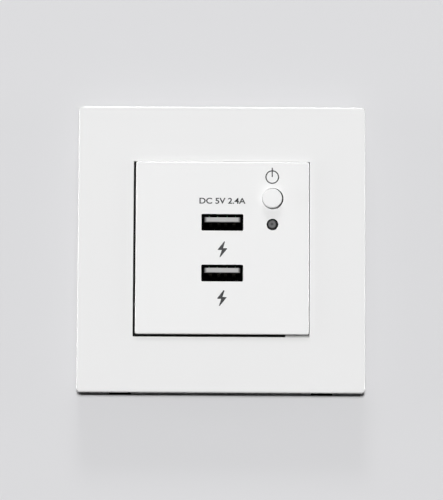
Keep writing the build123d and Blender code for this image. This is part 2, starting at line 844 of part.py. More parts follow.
with BuildPart() as lamp_leads:
    with BuildSketch(insert_plane(lamp_back)):
        with Locations((lamp_x, lamp_z)):
            with GridLocations(lamp_lead_pitch, 0, 2, 1):
                Rectangle(lamp_lead, lamp_lead)
    extrude(amount=-front_board_rear - lead_length - lamp_back)
lamp_leads.part.label = "lamp_leads"
export_step(lamp_leads.part, "parts/lamp_leads.step")

with BuildPart() as lamp_spacer:
    with BuildSketch(insert_plane(-front_board_depth)):
        with Locations((lamp_x, lamp_z)):
            Rectangle(lamp_spacer_width, lamp_spacer_width)
            with GridLocations(lamp_lead_pitch, 0, 2, 1):
                Rectangle(
                    lamp_lead + 2 * pin_clearance, lamp_lead + 2 * pin_clearance, mode=Mode.SUBTRACT
                )
    extrude(amount=lamp_back + front_board_depth)
lamp_spacer.part.label = "lamp_spacer"
export_step(lamp_spacer.part, "parts/lamp_spacer.step")

# Charge controller and small resistors on the front board
with BuildPart() as charge_controller:
    with BuildSketch(insert_plane(-front_board_depth)):
        with Locations(*spread(controller_at)):
            Rectangle(controller_size[0], controller_size[1])
    extrude(amount=controller_size[2])
    chamfer(charge_controller.faces().sort_by(Axis.Y)[0].edges(), controller_edge)
charge_controller.part.label = "charge_controller"
export_step(charge_controller.part, "parts/charge_controller.step")

with BuildPart() as front_resistors:
    with BuildSketch(insert_plane(-front_board_depth)):
        with Locations(*spread(*resistor_points)):
            Rectangle(resistor_size[0], resistor_size[1])
    extrude(amount=resistor_size[2])
front_resistors.part.label = "front_resistors"
export_step(front_resistors.part, "parts/front_resistors.step")

# Header strip on the power board, and its pins through both boards
with BuildPart() as link_header:
    with BuildSketch(insert_plane(-power_board_depth)):
        with Locations((header_x, header_z)):
            Rectangle(header_width, header_count * header_pitch)
            with GridLocations(0, header_pitch, 1, header_count):
                Rectangle(
                    header_pin + 2 * pin_clearance,
                    header_pin + 2 * pin_clearance,
                    mode=Mode.SUBTRACT,
                )
    extrude(amount=header_height)
link_header.part.label = "link_header"
export_step(link_header.part, "parts/link_header.step")

with BuildPart() as link_pins:
    with BuildSketch(insert_plane(lead_length - front_board_depth)):
        with Locations((header_x, header_z)):
            with GridLocations(0, header_pitch, 1, header_count):
                Rectangle(header_pin, header_pin)
    extrude(amount=front_board_depth - power_board_rear - 2 * lead_length)
link_pins.part.label = "link_pins"
export_step(link_pins.part, "parts/link_pins.step")

# Power board, notched for the housing's ribs
with BuildPart() as power_board:
    board_height = board_width / 2 - power_board_bottom
    rib_notch = rib_height - board_clearance + notch_clearance
    tail_z = bar_top - bar_thickness / 2
    with BuildSketch(insert_plane(-power_board_depth)):
        with Locations((0, power_board_bottom)):
            Rectangle(board_width, board_height, align=(Align.CENTER, Align.MIN))
        with Locations((-board_width / 2, side_rib_z), (board_width / 2, side_rib_z)):
            Rectangle(2 * rib_notch, rib_width + 2 * notch_clearance, mode=Mode.SUBTRACT)
        with Locations((0, board_width / 2)):
            Rectangle(rib_width + 2 * notch_clearance, 2 * rib_notch, mode=Mode.SUBTRACT)
        with Locations(*spread(*peg_points)):
            Rectangle(
                peg_width + 2 * pin_clearance, peg_width + 2 * pin_clearance, mode=Mode.SUBTRACT
            )
        with Locations((header_x, header_z)):
            with GridLocations(0, header_pitch, 1, header_count):
                Rectangle(
                    header_pin + 2 * pin_clearance,
                    header_pin + 2 * pin_clearance,
                    mode=Mode.SUBTRACT,
                )
        with Locations(*[(x, tail_z) for _, x in terminals]):
            Rectangle(
                bar_tail + 2 * pin_clearance,
                bar_thickness + 2 * pin_clearance,
                mode=Mode.SUBTRACT,
            )
    extrude(amount=-board_thickness)
power_board.part.label = "power_board"
export_step(power_board.part, "parts/power_board.step")

# Transformer: core with two windows, flanged bobbin, winding and pins
core_place = spread(core_at)[0]
core_height = part_room - core_headroom
core_middle = power_board_depth - core_height / 2
core_window_height = core_height - 2 * core_leg
core_post = share * core_centre
core_window_width = share * (core_width - core_centre - 2 * core_leg) / 2
core_window_x = (core_post + core_window_width) / 2
bobbin_span = share * bobbin_length
cheek_width = core_post + 2 * core_window_width - 2 * bobbin_clearance
tube_width = core_post + 2 * (bobbin_clearance + bobbin_wall)
tube_length = share * core_thickness + 2 * (bobbin_clearance + bobbin_wall)
bobbin_height = core_window_height - 2 * bobbin_clearance
bobbin_front = -core_middle + bobbin_height / 2
with BuildPart() as transformer_core:
    with BuildSketch(level_plane(core_place[1])):
        with Locations((core_place[0], core_middle)):
            Rectangle(share * core_width, core_height)
            with GridLocations(2 * core_window_x, 0, 2, 1):
                Rectangle(core_window_width, core_window_height, mode=Mode.SUBTRACT)
    extrude(amount=share * core_thickness / 2, both=True)
transformer_core.part.label = "transformer_core"
export_step(transformer_core.part, "parts/transformer_core.step")

with BuildPart() as transformer_bobbin:
    with BuildSketch(insert_plane(bobbin_front)):
        with Locations(core_place):
            Rectangle(cheek_width, bobbin_span)
    extrude(amount=-bobbin_height)
    with BuildSketch(insert_plane(bobbin_front - bobbin_wall)):
        with Locations(core_place):
            Rectangle(cheek_width, bobbin_span)
            Rectangle(tube_width, tube_length, mode=Mode.SUBTRACT)
    extrude(amount=2 * bobbin_wall - bobbin_height, mode=Mode.SUBTRACT)
    with BuildSketch(insert_plane(bobbin_front)):
        with Locations(core_place):
            Rectangle(
                core_post + 2 * bobbin_clearance, share * core_thickness + 2 * bobbin_clearance
            )
    extrude(amount=-bobbin_height, mode=Mode.SUBTRACT)
transformer_bobbin.part.label = "transformer_bobbin"
export_step(transformer_bobbin.part, "parts/transformer_bobbin.step")

with BuildPart() as transformer_winding:
    with BuildSketch(insert_plane(bobbin_front - bobbin_wall)) as winding_outline:
        with Locations(core_place):
            Rectangle(cheek_width - 2 * share * winding_inset, bobbin_span - 2 * share * winding_inset)
            chamfer(winding_outline.vertices(), winding_corner)
            Rectangle(tube_width, tube_length, mode=Mode.SUBTRACT)
    extrude(amount=2 * bobbin_wall - bobbin_height)
transformer_winding.part.label = "transformer_winding"
export_step(transformer_winding.part, "parts/transformer_winding.step")

with BuildPart() as transformer_pins:
    pin_row = (share * core_thickness + bobbin_span) / 2
    with BuildSketch(insert_plane(bobbin_front - bobbin_height)):
        with Locations(core_place):
            with GridLocations(coil_pin_pitch, pin_row, 3, 2):
                Rectangle(coil_pin, coil_pin)
    extrude(amount=bobbin_height - bobbin_front - power_board_depth)
transformer_pins.part.label = "transformer_pins"
export_step(transformer_pins.part, "parts/transformer_pins.step")

# Electrolytic capacitors
cans = (
    ("input_capacitors", input_points, input_radius, part_room - input_headroom),
    ("output_capacitors", output_points, output_radius, part_room - output_headroom),
)
for name, points, radius, height in cans:
    with BuildPart() as capacitors:
        with BuildSketch(insert_plane(-power_board_depth)):
            with Locations(*spread(*points)):
                Circle(share * radius)
        extrude(amount=height)
    capacitors.part.label = name
    export_step(capacitors.part, "parts/" + name + ".step")

# Film capacitor across the mains, rectifier and power chip, all with bevelled tops
flat_packages = (
    ("safety_capacitor", film_at, film_size),
    ("bridge_rectifier", bridge_at, bridge_size),
    ("power_chip", chip_at, chip_size),
)
for name, point, size in flat_packages:
    with BuildPart() as package:
        with BuildSketch(insert_plane(-power_board_depth)):
            with Locations(*spread(point)):
                Rectangle(share * size[0], share * size[1])
        extrude(amount=size[2])
        chamfer(package.faces().sort_by(Axis.Y)[0].edges(), chip_edge)
    package.part.label = name
    export_step(package.part, "parts/" + name + ".step")

# Fusible resistor lying on the board
with BuildPart() as fuse_resistor:
    fuse_x, fuse_z = spread(fuse_at)[0]
    with BuildSketch(side_plane(fuse_x)):
        with Locations((share * fuse_radius - power_board_depth, fuse_z)):
            Circle(share * fuse_radius)
    extrude(amount=share * fuse_length / 2, both=True)
fuse_resistor.part.label = "fuse_resistor"
export_step(fuse_resistor.part, "parts/fuse_resistor.step")

# Sleeved drum choke
with BuildPart() as filter_choke:
    with BuildSketch(insert_plane(-power_board_depth)):
        with Locations(*spread(choke_at)):
            Circle(share * choke_radius)
    extrude(amount=choke_height)
filter_choke.part.label = "filter_choke"
export_step(filter_choke.part, "parts/filter_choke.step")

# Terminal block: fills the cut-out in the housing's lower rear edge, with one chamber per wire
with BuildPart() as terminal_block:
    seat_bottom = block_seat - housing_hollow / 2
    with BuildSketch(insert_plane(-block_front_depth)):
        with Locations((0, seat_bottom)):
            Rectangle(
                block_width + 2 * block_lip,
                block_top - seat_bottom,
                align=(Align.CENTER, Align.MIN),
            )
    extrude(amount=block_front_depth - inner_depth + block_seat)
    with BuildSketch(insert_plane(-block_front_depth)):
        with Locations((0, block_bottom)):
            Rectangle(
                block_width, block_top - block_lip - block_bottom, align=(Align.CENTER, Align.MIN)
            )
    extrude(amount=block_front_depth - housing_depth)
    with BuildSketch(insert_plane(-block_front_depth)):
        with Locations(*[(x, terminal_z) for _, x in terminals]):
            Rectangle(chamber_width, chamber_height)
    extrude(amount=block_front_depth - chamber_rear_depth, mode=Mode.SUBTRACT)
    with BuildSketch(insert_plane(-chamber_rear_depth)):
        with Locations(*[(x, terminal_z) for _, x in terminals]):
            Circle(terminal_screw_radius + terminal_shank_play)
    extrude(amount=-shoulder_thickness, mode=Mode.SUBTRACT)
    with BuildSketch(insert_plane(-shoulder_depth)):
        with Locations(*[(x, terminal_z) for _, x in terminals]):
            Circle(terminal_head_radius + terminal_head_clearance)
    extrude(amount=shoulder_depth - housing_depth, mode=Mode.SUBTRACT)
    with BuildSketch(level_plane(block_bottom)):
        with Locations(*[(x, wire_depth) for _, x in terminals]):
            Circle(wire_radius)
    extrude(amount=wire_wall, mode=Mode.SUBTRACT)
    with BuildSketch(level_plane(block_top)):
        with Locations(*[(x, bar_front_depth + bar_thickness / 2) for _, x in terminals]):
            Rectangle(bar_width + 2 * bar_clearance, bar_thickness + 2 * bar_clearance)
    extrude(amount=-block_roof, mode=Mode.SUBTRACT)
terminal_block.part.label = "terminal_block"
export_step(terminal_block.part, "parts/terminal_block.step")

# Contact bar, clamp screw and rising clamp, once for each wire
for name, x in terminals:
    with BuildPart() as contact_bar:
        with BuildSketch(side_plane(x)):
            with BuildLine():
                Polyline(
                    (-bar_front_depth, cage_bottom),
                    (-bar_front_depth, bar_top),
                    (-power_board_depth, bar_top),
                    (-power_board_depth, bar_top - bar_thickness),
                    (-bar_rear_depth, bar_top - bar_thickness),
                    (-bar_rear_depth, cage_bottom),
                    close=True,
                )
            make_face()
        extrude(amount=bar_width / 2, both=True)
        with BuildSketch(insert_plane(-power_board_depth)):
            with Locations((x, tail_z)):
                Rectangle(bar_tail, bar_thickness)
        extrude(amount=-board_thickness - lead_length)
    contact_bar.part.label = name + "_bar"
    export_step(contact_bar.part, "parts/" + name + "_bar.step")

    with BuildPart() as clamp_screw:
        head_seat = shoulder_depth + terminal_screw_gap
        with BuildSketch(insert_plane(-bar_rear_depth - terminal_screw_gap)):
            with Locations((x, terminal_z)):
                Circle(terminal_screw_radius)
        extrude(amount=bar_rear_depth + terminal_screw_gap - head_seat)
        with BuildSketch(insert_plane(-head_seat)):
            with Locations((x, terminal_z)):
                Circle(terminal_head_radius)
        extrude(amount=-terminal_head)
        with BuildSketch(insert_plane(-head_seat - terminal_head)):
            with Locations((x, terminal_z)):
                Rectangle(2 * terminal_head_radius, terminal_slot_width)
        extrude(amount=terminal_slot_depth, mode=Mode.SUBTRACT)
    clamp_screw.part.label = name + "_screw"
    export_step(clamp_screw.part, "parts/" + name + "_screw.step")

    with BuildPart() as clamp:
        with BuildSketch(level_plane(cage_bottom)):
            with Locations((x, jaw_outer_depth)):
                Rectangle(
                    cage_width, nut_rear_depth - jaw_outer_depth, align=(Align.CENTER, Align.MIN)
                )
            with Locations((x, jaw_inner_depth)):
                Rectangle(
                    cage_width - 2 * cage_side,
                    nut_front_depth - jaw_inner_depth,
                    align=(Align.CENTER, Align.MIN),
                    mode=Mode.SUBTRACT,
                )
        extrude(amount=cage_height)
        with BuildSketch(insert_plane(-nut_front_depth)):
            with Locations((x, terminal_z)):
                Circle(terminal_screw_radius + terminal_screw_play)
        extrude(amount=-cage_nut, mode=Mode.SUBTRACT)
    clamp.part.label = name + "_clamp"
    export_step(clamp.part, "parts/" + name + "_clamp.step")
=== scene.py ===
import json
import math

import bmesh
import bpy
from mathutils import Matrix, Vector


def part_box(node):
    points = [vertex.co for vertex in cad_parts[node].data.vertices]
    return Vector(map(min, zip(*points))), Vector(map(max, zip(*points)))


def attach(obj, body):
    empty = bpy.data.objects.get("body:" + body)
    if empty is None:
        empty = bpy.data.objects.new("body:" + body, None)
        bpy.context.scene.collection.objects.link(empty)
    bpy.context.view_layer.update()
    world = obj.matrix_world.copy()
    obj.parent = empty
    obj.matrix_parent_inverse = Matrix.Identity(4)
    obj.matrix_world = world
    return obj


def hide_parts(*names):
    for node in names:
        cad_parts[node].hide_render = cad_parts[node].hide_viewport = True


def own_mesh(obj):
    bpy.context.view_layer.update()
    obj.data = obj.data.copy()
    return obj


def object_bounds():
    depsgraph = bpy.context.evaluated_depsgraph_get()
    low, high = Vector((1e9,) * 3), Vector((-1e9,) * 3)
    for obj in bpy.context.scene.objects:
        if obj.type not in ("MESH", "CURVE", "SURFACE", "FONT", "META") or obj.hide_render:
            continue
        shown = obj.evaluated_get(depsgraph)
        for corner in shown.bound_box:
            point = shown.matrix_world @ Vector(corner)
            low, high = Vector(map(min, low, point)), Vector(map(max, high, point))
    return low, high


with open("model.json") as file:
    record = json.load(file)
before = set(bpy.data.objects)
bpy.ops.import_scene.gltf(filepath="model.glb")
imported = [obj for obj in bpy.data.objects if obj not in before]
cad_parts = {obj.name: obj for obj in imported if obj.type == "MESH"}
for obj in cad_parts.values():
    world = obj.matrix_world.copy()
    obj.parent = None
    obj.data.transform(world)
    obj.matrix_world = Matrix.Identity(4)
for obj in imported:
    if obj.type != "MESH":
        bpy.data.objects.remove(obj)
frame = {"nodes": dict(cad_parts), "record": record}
cad_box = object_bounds()
cad = frame["nodes"]

MM = 0.001

# Photograph and camera, in pixels, millimetres and degrees
image_width = 443
image_height = 500
mm_per_pixel = 0.2982
plate_centre_px = (221.42, 248.35)
camera_distance = 934.0
camera_elevation = -6.5
camera_roll = 0.3
sensor_height = 36.0
nearest_seen = 10.0
farthest_seen = 20000.0

# Printed marks, in millimetres from the insert's centre, with the text's weight and depth in text units
ink_thickness = 0.015
power_mark_at = (14.84, 21.34)
power_ring_radius = 1.88
power_stroke = 0.35
power_bar_rise = 0.75
rating_text = "DC 5V 2.4A"
rating_at = (0.0, 14.1)
rating_cap_height = 1.8
rating_width = 13.8
rating_weight = 0.02
text_depth = 0.1
bolt_places = {"upper": (-0.1, -0.5), "lower": (-0.21, -15.14)}
bolt_waist = [(0.34, 0.36), (-0.06, -0.23)]
bolt_upper_tips = [(-0.98, -0.22), (-1.3, -0.08), (0.64, 2.38), (0.94, 2.32)]
bolt_lower_tips = [(1.32, 0.36), (1.62, 0.22), (-0.42, -2.28), (-0.74, -2.4)]

# Button cap, in millimetres
cap_radius = 2.93
cap_lift = 0.1
cap_edge = 0.35
cap_crown = 0.06
cap_back = 7.75
tab_thickness = 1.0
tab_width = 4.0
neck_width = 4.8

# Switch spring and terminal screws, in millimetres, with the radius of the spring's wire
spring_wire = 0.18
spring_turns = 2
thread_pitch = 0.5
thread_depth = 0.18
screw_shank_radius = 1.5
screw_head_radius = 2.3
screw_head_height = 2.0
screw_head_edge = 0.3
screw_slot_width = 0.8
screw_slot_depth = 0.9

# Steps of round forms, and the angles in degrees up to which they are shaded smooth
ring_segments = 72
lathe_segments = 96
edge_steps = 8
spring_steps = 40
wire_sides = 10
thread_steps = 10
thread_segments = 40
cap_smooth_angle = 40
spring_smooth_angle = 60
screw_smooth_angle = 35

# Letters at the wire entries, in millimetres
entry_letters = {"line": "L", "neutral": "N"}
letter_height = 3.0
letter_width = 1.86
letter_rise = 0.2
letter_depth = 19.5

# Rounded edges of the frame and the insert
frame_edge = 0.5
panel_edge = 0.35
edge_gloss_start = 0.6
edge_gloss_roughness = 0.16
edge_gloss_index = 2.2
side_matting = 0.4

# Noise as scale and detail, bumps as depth in metres and strength
grain_detail = 3.0
grain_roughness = 0.16
grain_bump = (0.00002, 0.12)
flow_noise = (45.0, 2.0)
dust_noise = (700.0, 5.0)
dust_sharpness = 2.0
dust_slope = 0.6
dust_color = (0.55, 0.53, 0.5, 1.0)
streak_noise = (2600.0, 3.0)
streak_stretch = (1.0, 0.08, 1.0)
streak_roughness = 0.25
streak_bump = (0.00001, 0.2)
stain_noise = (320.0, 4.0)
stain_sharpness = 3.0

# Painted shade in gaps and holes, inside the ports and round the tongues of the ports
painted_shade_color = (0.0015, 0.0015, 0.0015, 1.0)
painted_shade_noise = (900.0, 2.0)
painted_shade_least = 0.93
painted_shade_swing = 0.1
tongue_half_width = 5.55
tongue_top = 1.975
tongue_bottom = 0.32
tongue_end_fade = 1.1
tongue_lower_fade = 0.45
tongue_upper_fade = 0.1
port_pitch = 15.24
shell_half_width = 6.25
shell_half_height = 2.56
shell_skin = 0.1
port_dullness = 0.5
port_specular = 0.02

# Lamp lens, in millimetres from its centre and grey levels at shares of its radius
lens_glow_at = (-0.06, 0.16)
lens_core = (0.22, (0.07, 0.07, 0.072, 1.0))
# The lens darkens to its rim from 0.8 of its radius: painted shade from the recess it sits in
lens_rim_shade = (0.95, (0.01, 0.01, 0.01, 1.0))
lens_steps = ((0.4, 0.17), (0.66, 0.15), (0.8, 0.03))
lens_coolness = 1.02
lens_noise = (900.0, 2.0)
lens_cloud = 0.25
lens_roughness = 0.7
lens_specular = 0.2

# Circuit boards
track_colors = {
    "Color1": (0.012, 0.09, 0.035, 1.0),
    "Color2": (0.015, 0.11, 0.04, 1.0),
    "Mortar": (0.03, 0.2, 0.08, 1.0),
}
track_scale = 260.0
track_gap = 0.06
track_bump = (0.00003, 0.4)
board_noise = (500.0, 2.0)
board_roughness = 0.25
board_roughness_swing = 0.3

# Moulded finishes; gaps take painted shade and are given by their reach, lit depth and dark depth in
# millimetres
moulded_looks = {
    "frame_plastic": dict(
        color=(0.8, 0.8, 0.8), roughness=0.6, dust=0.25, specular=0.3, gaps=[(30.0, 8.0, 7.0)]
    ),
    "panel_plastic": dict(
        color=(0.83, 0.83, 0.83), roughness=0.6, dust=0.2, specular=0.3,
        gaps=[(24.0, 9.75, 9.3), (30.0, 9.0, 8.4)],
    ),
    "button_plastic": dict(
        color=(0.83, 0.83, 0.83), roughness=0.55, grain_scale=1800.0, specular=0.3, gaps=[(24.0, 9.6, 8.9)]
    ),
    "plate_plastic": dict(color=(0.01, 0.01, 0.0105), roughness=0.85, mottle=0.2, specular=0.1),
    "housing_plastic": dict(color=(0.7, 0.7, 0.69), roughness=0.5, mottle=0.04, dust=0.4),
    "block_plastic": dict(color=(0.1, 0.1, 0.105), roughness=0.5, mottle=0.15),
    "black_plastic": dict(color=(0.015, 0.015, 0.016), roughness=0.7, mottle=0.2, specular=0.2),
    "tongue_plastic": dict(
        color=(0.615, 0.615, 0.615), roughness=0.85, mottle=0.05, specular=0.0, gaps=[(30.0, 6.35, 6.0)]
    ),
    "ferrite": dict(color=(0.035, 0.035, 0.036), roughness=0.65, mottle=0.3, grain_scale=800.0),
    "winding_tape": dict(color=(0.75, 0.55, 0.08), roughness=0.35, mottle=0.1, grain_scale=500.0),
    "can_sleeve": dict(color=(0.02, 0.022, 0.05), roughness=0.25, mottle=0.15),
    "film_box": dict(color=(0.6, 0.48, 0.14), roughness=0.4, mottle=0.08),
    "resistor_coating": dict(color=(0.07, 0.26, 0.12), roughness=0.45, mottle=0.15),
    "print_ink": dict(
        color=(0.035, 0.035, 0.037), roughness=0.55, mottle=0.35, grain_scale=2200.0, specular=0.2
    ),
}

# Plated finishes
plated_looks = {
    "shell_metal": dict(color=(0.58, 0.57, 0.54), stain=(0.4, 0.38, 0.34), roughness=0.35),
    # The contacts take painted shade deep in the ports, given like the moulded gaps
    "contact_metal": dict(
        color=(0.46, 0.42, 0.34), stain=(0.26, 0.22, 0.16), roughness=0.65, gaps=[(24.0, 9.0, 6.5)]
    ),
    "screw_steel": dict(color=(0.62, 0.62, 0.61), stain=(0.42, 0.4, 0.36), roughness=0.3),
    "clamp_steel": dict(color=(0.6, 0.55, 0.4), stain=(0.4, 0.34, 0.2), roughness=0.35),
}

# Stage, in metres, with its contact shade in millimetres
wall_reach = 2.5
wall_hole = 0.0418
wall_front = 0.0
floor_level = -0.6
floor_glow = 0.75
wall_glow = 0.38
contact_shade = 0.5
backdrop_color = (0.716, 0.716, 0.73, 1.0)
paint_noise = (3.0, 1.0)
paint_least = 0.998
paint_swing = 0.004
unlit = (0.0, 0.0, 0.0, 1.0)
air_light = (0.03, 0.03, 0.03, 1.0)

# Soft lights: place and size in metres, power in watts
softboxes = {
    "front_softbox": ((0.0, -2.0, 0.1), (0.18, 0.18), 31.4),
    "top_softbox": ((-0.06, -0.7, 1.89), (0.5, 0.24), 14.8),
    "left_edge_softbox": ((-1.0, -0.13, 0.06), (0.15, 0.3), 2.6),
    "right_edge_softbox": ((1.0, -0.13, 0.06), (0.15, 0.3), 2.0),
    "rear_left_softbox": ((-0.8, 1.1, 0.5), (0.8, 0.8), 16.0),
    "rear_right_softbox": ((0.8, 1.1, 0.7), (0.8, 0.8), 12.0),
    "rear_low_softbox": ((0.0, 0.9, -0.5), (0.6, 0.6), 4.0),
}

# Places taken from the frame
panel_low, panel_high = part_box("front_panel")
insert_centre = (panel_low + panel_high) / 2
insert_face = panel_low.y
button_low, button_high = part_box("power_button")
button_centre = (button_low + button_high) / 2
lamp_low, lamp_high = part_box("lamp_lens")
lamp_centre = (lamp_low + lamp_high) / 2
spring_low, spring_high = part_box("switch_spring")
spring_centre = (spring_low + spring_high) / 2
block_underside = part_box("terminal_block")[0].z

# Numbers of the mix node's colour sockets, which share their names with others
mix_first = 6
mix_second = 7
mix_result = 2


# Shader nodes
def feed(tree, socket, value):
    """Link a socket to another one, or set it to a plain value."""
    if isinstance(value, bpy.types.NodeSocket):
        tree.links.new(value, socket)
    else:
        socket.default_value = value


def math_node(tree, operation, first, second=0.0):
    """A math node whose two inputs are sockets or numbers."""
    node = tree.nodes.new("ShaderNodeMath")
    node.operation = operation
    feed(tree, node.inputs[0], first)
    feed(tree, node.inputs[1], second)
    return node.outputs[0]


def vector_node(tree, operation, first, second=(0.0, 0.0, 0.0)):
    """The outputs of a vector math node whose two inputs are sockets or vectors."""
    node = tree.nodes.new("ShaderNodeVectorMath")
    node.operation = operation
    feed(tree, node.inputs[0], first)
    feed(tree, node.inputs[1], second)
    return node.outputs


def noise_node(tree, vector, scale, detail):
    """Noise between 0 and 1 over the given coordinates."""
    node = tree.nodes.new("ShaderNodeTexNoise")
    feed(tree, node.inputs["Vector"], vector)
    feed(tree, node.inputs["Scale"], scale)
    feed(tree, node.inputs["Detail"], detail)
    return node.outputs["Fac"]


def swing_node(tree, noise, amount):
    """Noise made to swing to both sides of 0."""
    return math_node(tree, "MULTIPLY", math_node(tree, "SUBTRACT", noise, 0.5), amount)


def level_node(tree, noise, least, swing):
    """Noise spread upwards from a least level."""
    return math_node(tree, "ADD", math_node(tree, "MULTIPLY", noise, swing), least)


def mix_color(tree, mask, first, second):
    """The first colour where the mask is 0 and the second where it is 1."""
    node = tree.nodes.new("ShaderNodeMix")
    node.data_type = "RGBA"
    feed(tree, node.inputs["Factor"], mask)
    feed(tree, node.inputs[mix_first], first)
    feed(tree, node.inputs[mix_second], second)
    return node.outputs[mix_result]


def fade_node(tree, value, start, end):
    """0 up to the start and 1 from the end on, each a socket or a number in metres."""
    node = tree.nodes.new("ShaderNodeMapRange")
    node.interpolation_type = "SMOOTHSTEP"
    feed(tree, node.inputs["Value"], value)
    feed(tree, node.inputs["From Min"], start)
    feed(tree, node.inputs["From Max"], end)
    return node.outputs["Result"]


def place_node(tree):
    """The point's place on the object, in metres."""
    return tree.nodes.new("ShaderNodeTexCoord").outputs["Object"]


def split_node(tree, vector):
    """The three coordinates of a vector, by their letters."""
    node = tree.nodes.new("ShaderNodeSeparateXYZ")
    feed(tree, node.inputs[0], vector)
    return node.outputs


def offset_node(tree, coordinate, centre):
    """Distance of a coordinate from a centre, to either side."""
    return math_node(tree, "ABSOLUTE", math_node(tree, "SUBTRACT", coordinate, centre))


def square_reach(tree, spot, centre_x, centre_z):
    """How far a point lies from a centre, measured square to the frame's sides."""
    across = offset_node(tree, spot["X"], centre_x)
    upright = offset_node(tree, spot["Z"], centre_z)
    return math_node(tree, "MAXIMUM", across, upright)


# Shader groups
def group_of(name, inputs, outputs):
    """A new shader group with its named sockets, and its input and output nodes."""
    group = bpy.data.node_groups.new(name, "ShaderNodeTree")
    for socket, kind, value in inputs:
        made = group.interface.new_socket(name=socket, in_out="INPUT", socket_type=kind)
        made.default_value = value
    for socket, kind in outputs:
        group.interface.new_socket(name=socket, in_out="OUTPUT", socket_type=kind)
    return group, group.nodes.new("NodeGroupInput"), group.nodes.new("NodeGroupOutput")


def make_moulded_grain():
    """Fine spark-eroded grain of a mould, with a faint flow mottle."""
    group, start, end = group_of(
        "moulded_grain",
        [
            ("Color", "NodeSocketColor", (0.8, 0.8, 0.8, 1.0)),
            ("Mottle", "NodeSocketFloat", 0.02),
            ("Roughness", "NodeSocketFloat", 0.45),
            ("Grain Scale", "NodeSocketFloat", 1400.0),
        ],
        [
            ("Color", "NodeSocketColor"),
            ("Roughness", "NodeSocketFloat"),
            ("Height", "NodeSocketFloat"),
        ],
    )
    place = place_node(group)
    grain = noise_node(group, place, start.outputs["Grain Scale"], grain_detail)
    shade = swing_node(group, noise_node(group, place, *flow_noise), start.outputs["Mottle"])
    tone = group.nodes.new("ShaderNodeHueSaturation")
    feed(group, tone.inputs["Color"], start.outputs["Color"])
    feed(group, tone.inputs["Value"], math_node(group, "ADD", shade, 1.0))
    rough = swing_node(group, grain, grain_roughness)
    feed(group, end.inputs["Color"], tone.outputs["Color"])
    feed(group, end.inputs["Roughness"], math_node(group, "ADD", start.outputs["Roughness"], rough))
    feed(group, end.inputs["Height"], grain)
    return group


def make_settled_dust():
    """Thin dust on faces that look upwards."""
    group, start, end = group_of(
        "settled_dust",
        [("Color", "NodeSocketColor", (0.8, 0.8, 0.8, 1.0)), ("Amount", "NodeSocketFloat", 0.1)],
        [("Color", "NodeSocketColor")],
    )
    facing = split_node(group, group.nodes.new("ShaderNodeNewGeometry").outputs["Normal"])
    upward = math_node(group, "MAXIMUM", math_node(group, "SUBTRACT", facing["Z"], dust_slope), 0.0)
    specks = math_node(group, "POWER", noise_node(group, place_node(group), *dust_noise), dust_sharpness)
    mask = math_node(group, "MULTIPLY", math_node(group, "MULTIPLY", upward, specks), start.outputs["Amount"])
    feed(group, end.inputs["Color"], mix_color(group, mask, start.outputs["Color"], dust_color))
    return group


def make_plating_streaks():
    """Rolling streaks and faint stains of plated sheet metal."""
    group, start, end = group_of(
        "plating_streaks",
        [
            ("Color", "NodeSocketColor", (0.6, 0.6, 0.6, 1.0)),
            ("Stain", "NodeSocketColor", (0.3, 0.3, 0.3, 1.0)),
            ("Roughness", "NodeSocketFloat", 0.3),
        ],
        [
            ("Color", "NodeSocketColor"),
            ("Roughness", "NodeSocketFloat"),
            ("Height", "NodeSocketFloat"),
        ],
    )
    place = place_node(group)
    stretch = group.nodes.new("ShaderNodeMapping")
    feed(group, stretch.inputs["Scale"], streak_stretch)
    feed(group, stretch.inputs["Vector"], place)
    streaks = noise_node(group, stretch.outputs["Vector"], *streak_noise)
    stains = math_node(group, "POWER", noise_node(group, place, *stain_noise), stain_sharpness)
    rough = swing_node(group, streaks, streak_roughness)
    feed(group, end.inputs["Color"], mix_color(group, stains, start.outputs["Color"], start.outputs["Stain"]))
    feed(group, end.inputs["Roughness"], math_node(group, "ADD", start.outputs["Roughness"], rough))
    feed(group, end.inputs["Height"], streaks)
    return group


def make_gap_painted_shade():
    """Painted shade in gaps and holes, from a lit depth to a dark depth behind the front."""
    group, start, end = group_of(
        "gap_painted_shade",
        [
            ("Color", "NodeSocketColor", (0.8, 0.8, 0.8, 1.0)),
            ("Reach", "NodeSocketFloat", 0.03),
            ("Lit Depth", "NodeSocketFloat", -0.009),
            ("Dark Depth", "NodeSocketFloat", -0.008),
        ],
        [("Color", "NodeSocketColor")],
    )
    place = place_node(group)
    spot = split_node(group, place)
    off_centre = square_reach(group, spot, insert_centre.x, insert_centre.z)
    inside = math_node(group, "LESS_THAN", off_centre, start.outputs["Reach"])
    depth = fade_node(group, spot["Y"], start.outputs["Lit Depth"], start.outputs["Dark Depth"])
    cloud = level_node(group, noise_node(group, place, *painted_shade_noise), painted_shade_least, painted_shade_swing)
    mask = math_node(group, "MULTIPLY", math_node(group, "MULTIPLY", inside, depth), cloud)
    feed(group, end.inputs["Color"], mix_color(group, mask, start.outputs["Color"], painted_shade_color))
    return group


def make_edge_polish():
    """Masks of a square moulding's rounded edges, smoother than its face, and of what lies behind them."""
    group, start, end = group_of(
        "edge_polish",
        [
            ("Centre", "NodeSocketVector", (0.0, 0.0, 0.0)),
            ("Face End", "NodeSocketFloat", 0.042),
            ("Edge Start", "NodeSocketFloat", 0.0425),
            ("Edge Depth", "NodeSocketFloat", -0.0085),
        ],
        [("Mask", "NodeSocketFloat"), ("Side", "NodeSocketFloat")],
    )
    spot = split_node(group, place_node(group))
    centre = split_node(group, start.outputs["Centre"])
    off_centre = square_reach(group, spot, centre["X"], centre["Z"])
    edge = fade_node(group, off_centre, start.outputs["Face End"], start.outputs["Edge Start"])
    rounded = math_node(group, "LESS_THAN", spot["Y"], start.outputs["Edge Depth"])
    feed(group, end.inputs["Mask"], math_node(group, "MULTIPLY", edge, rounded))
    feed(group, end.inputs["Side"], math_node(group, "SUBTRACT", 1.0, rounded))
    return group


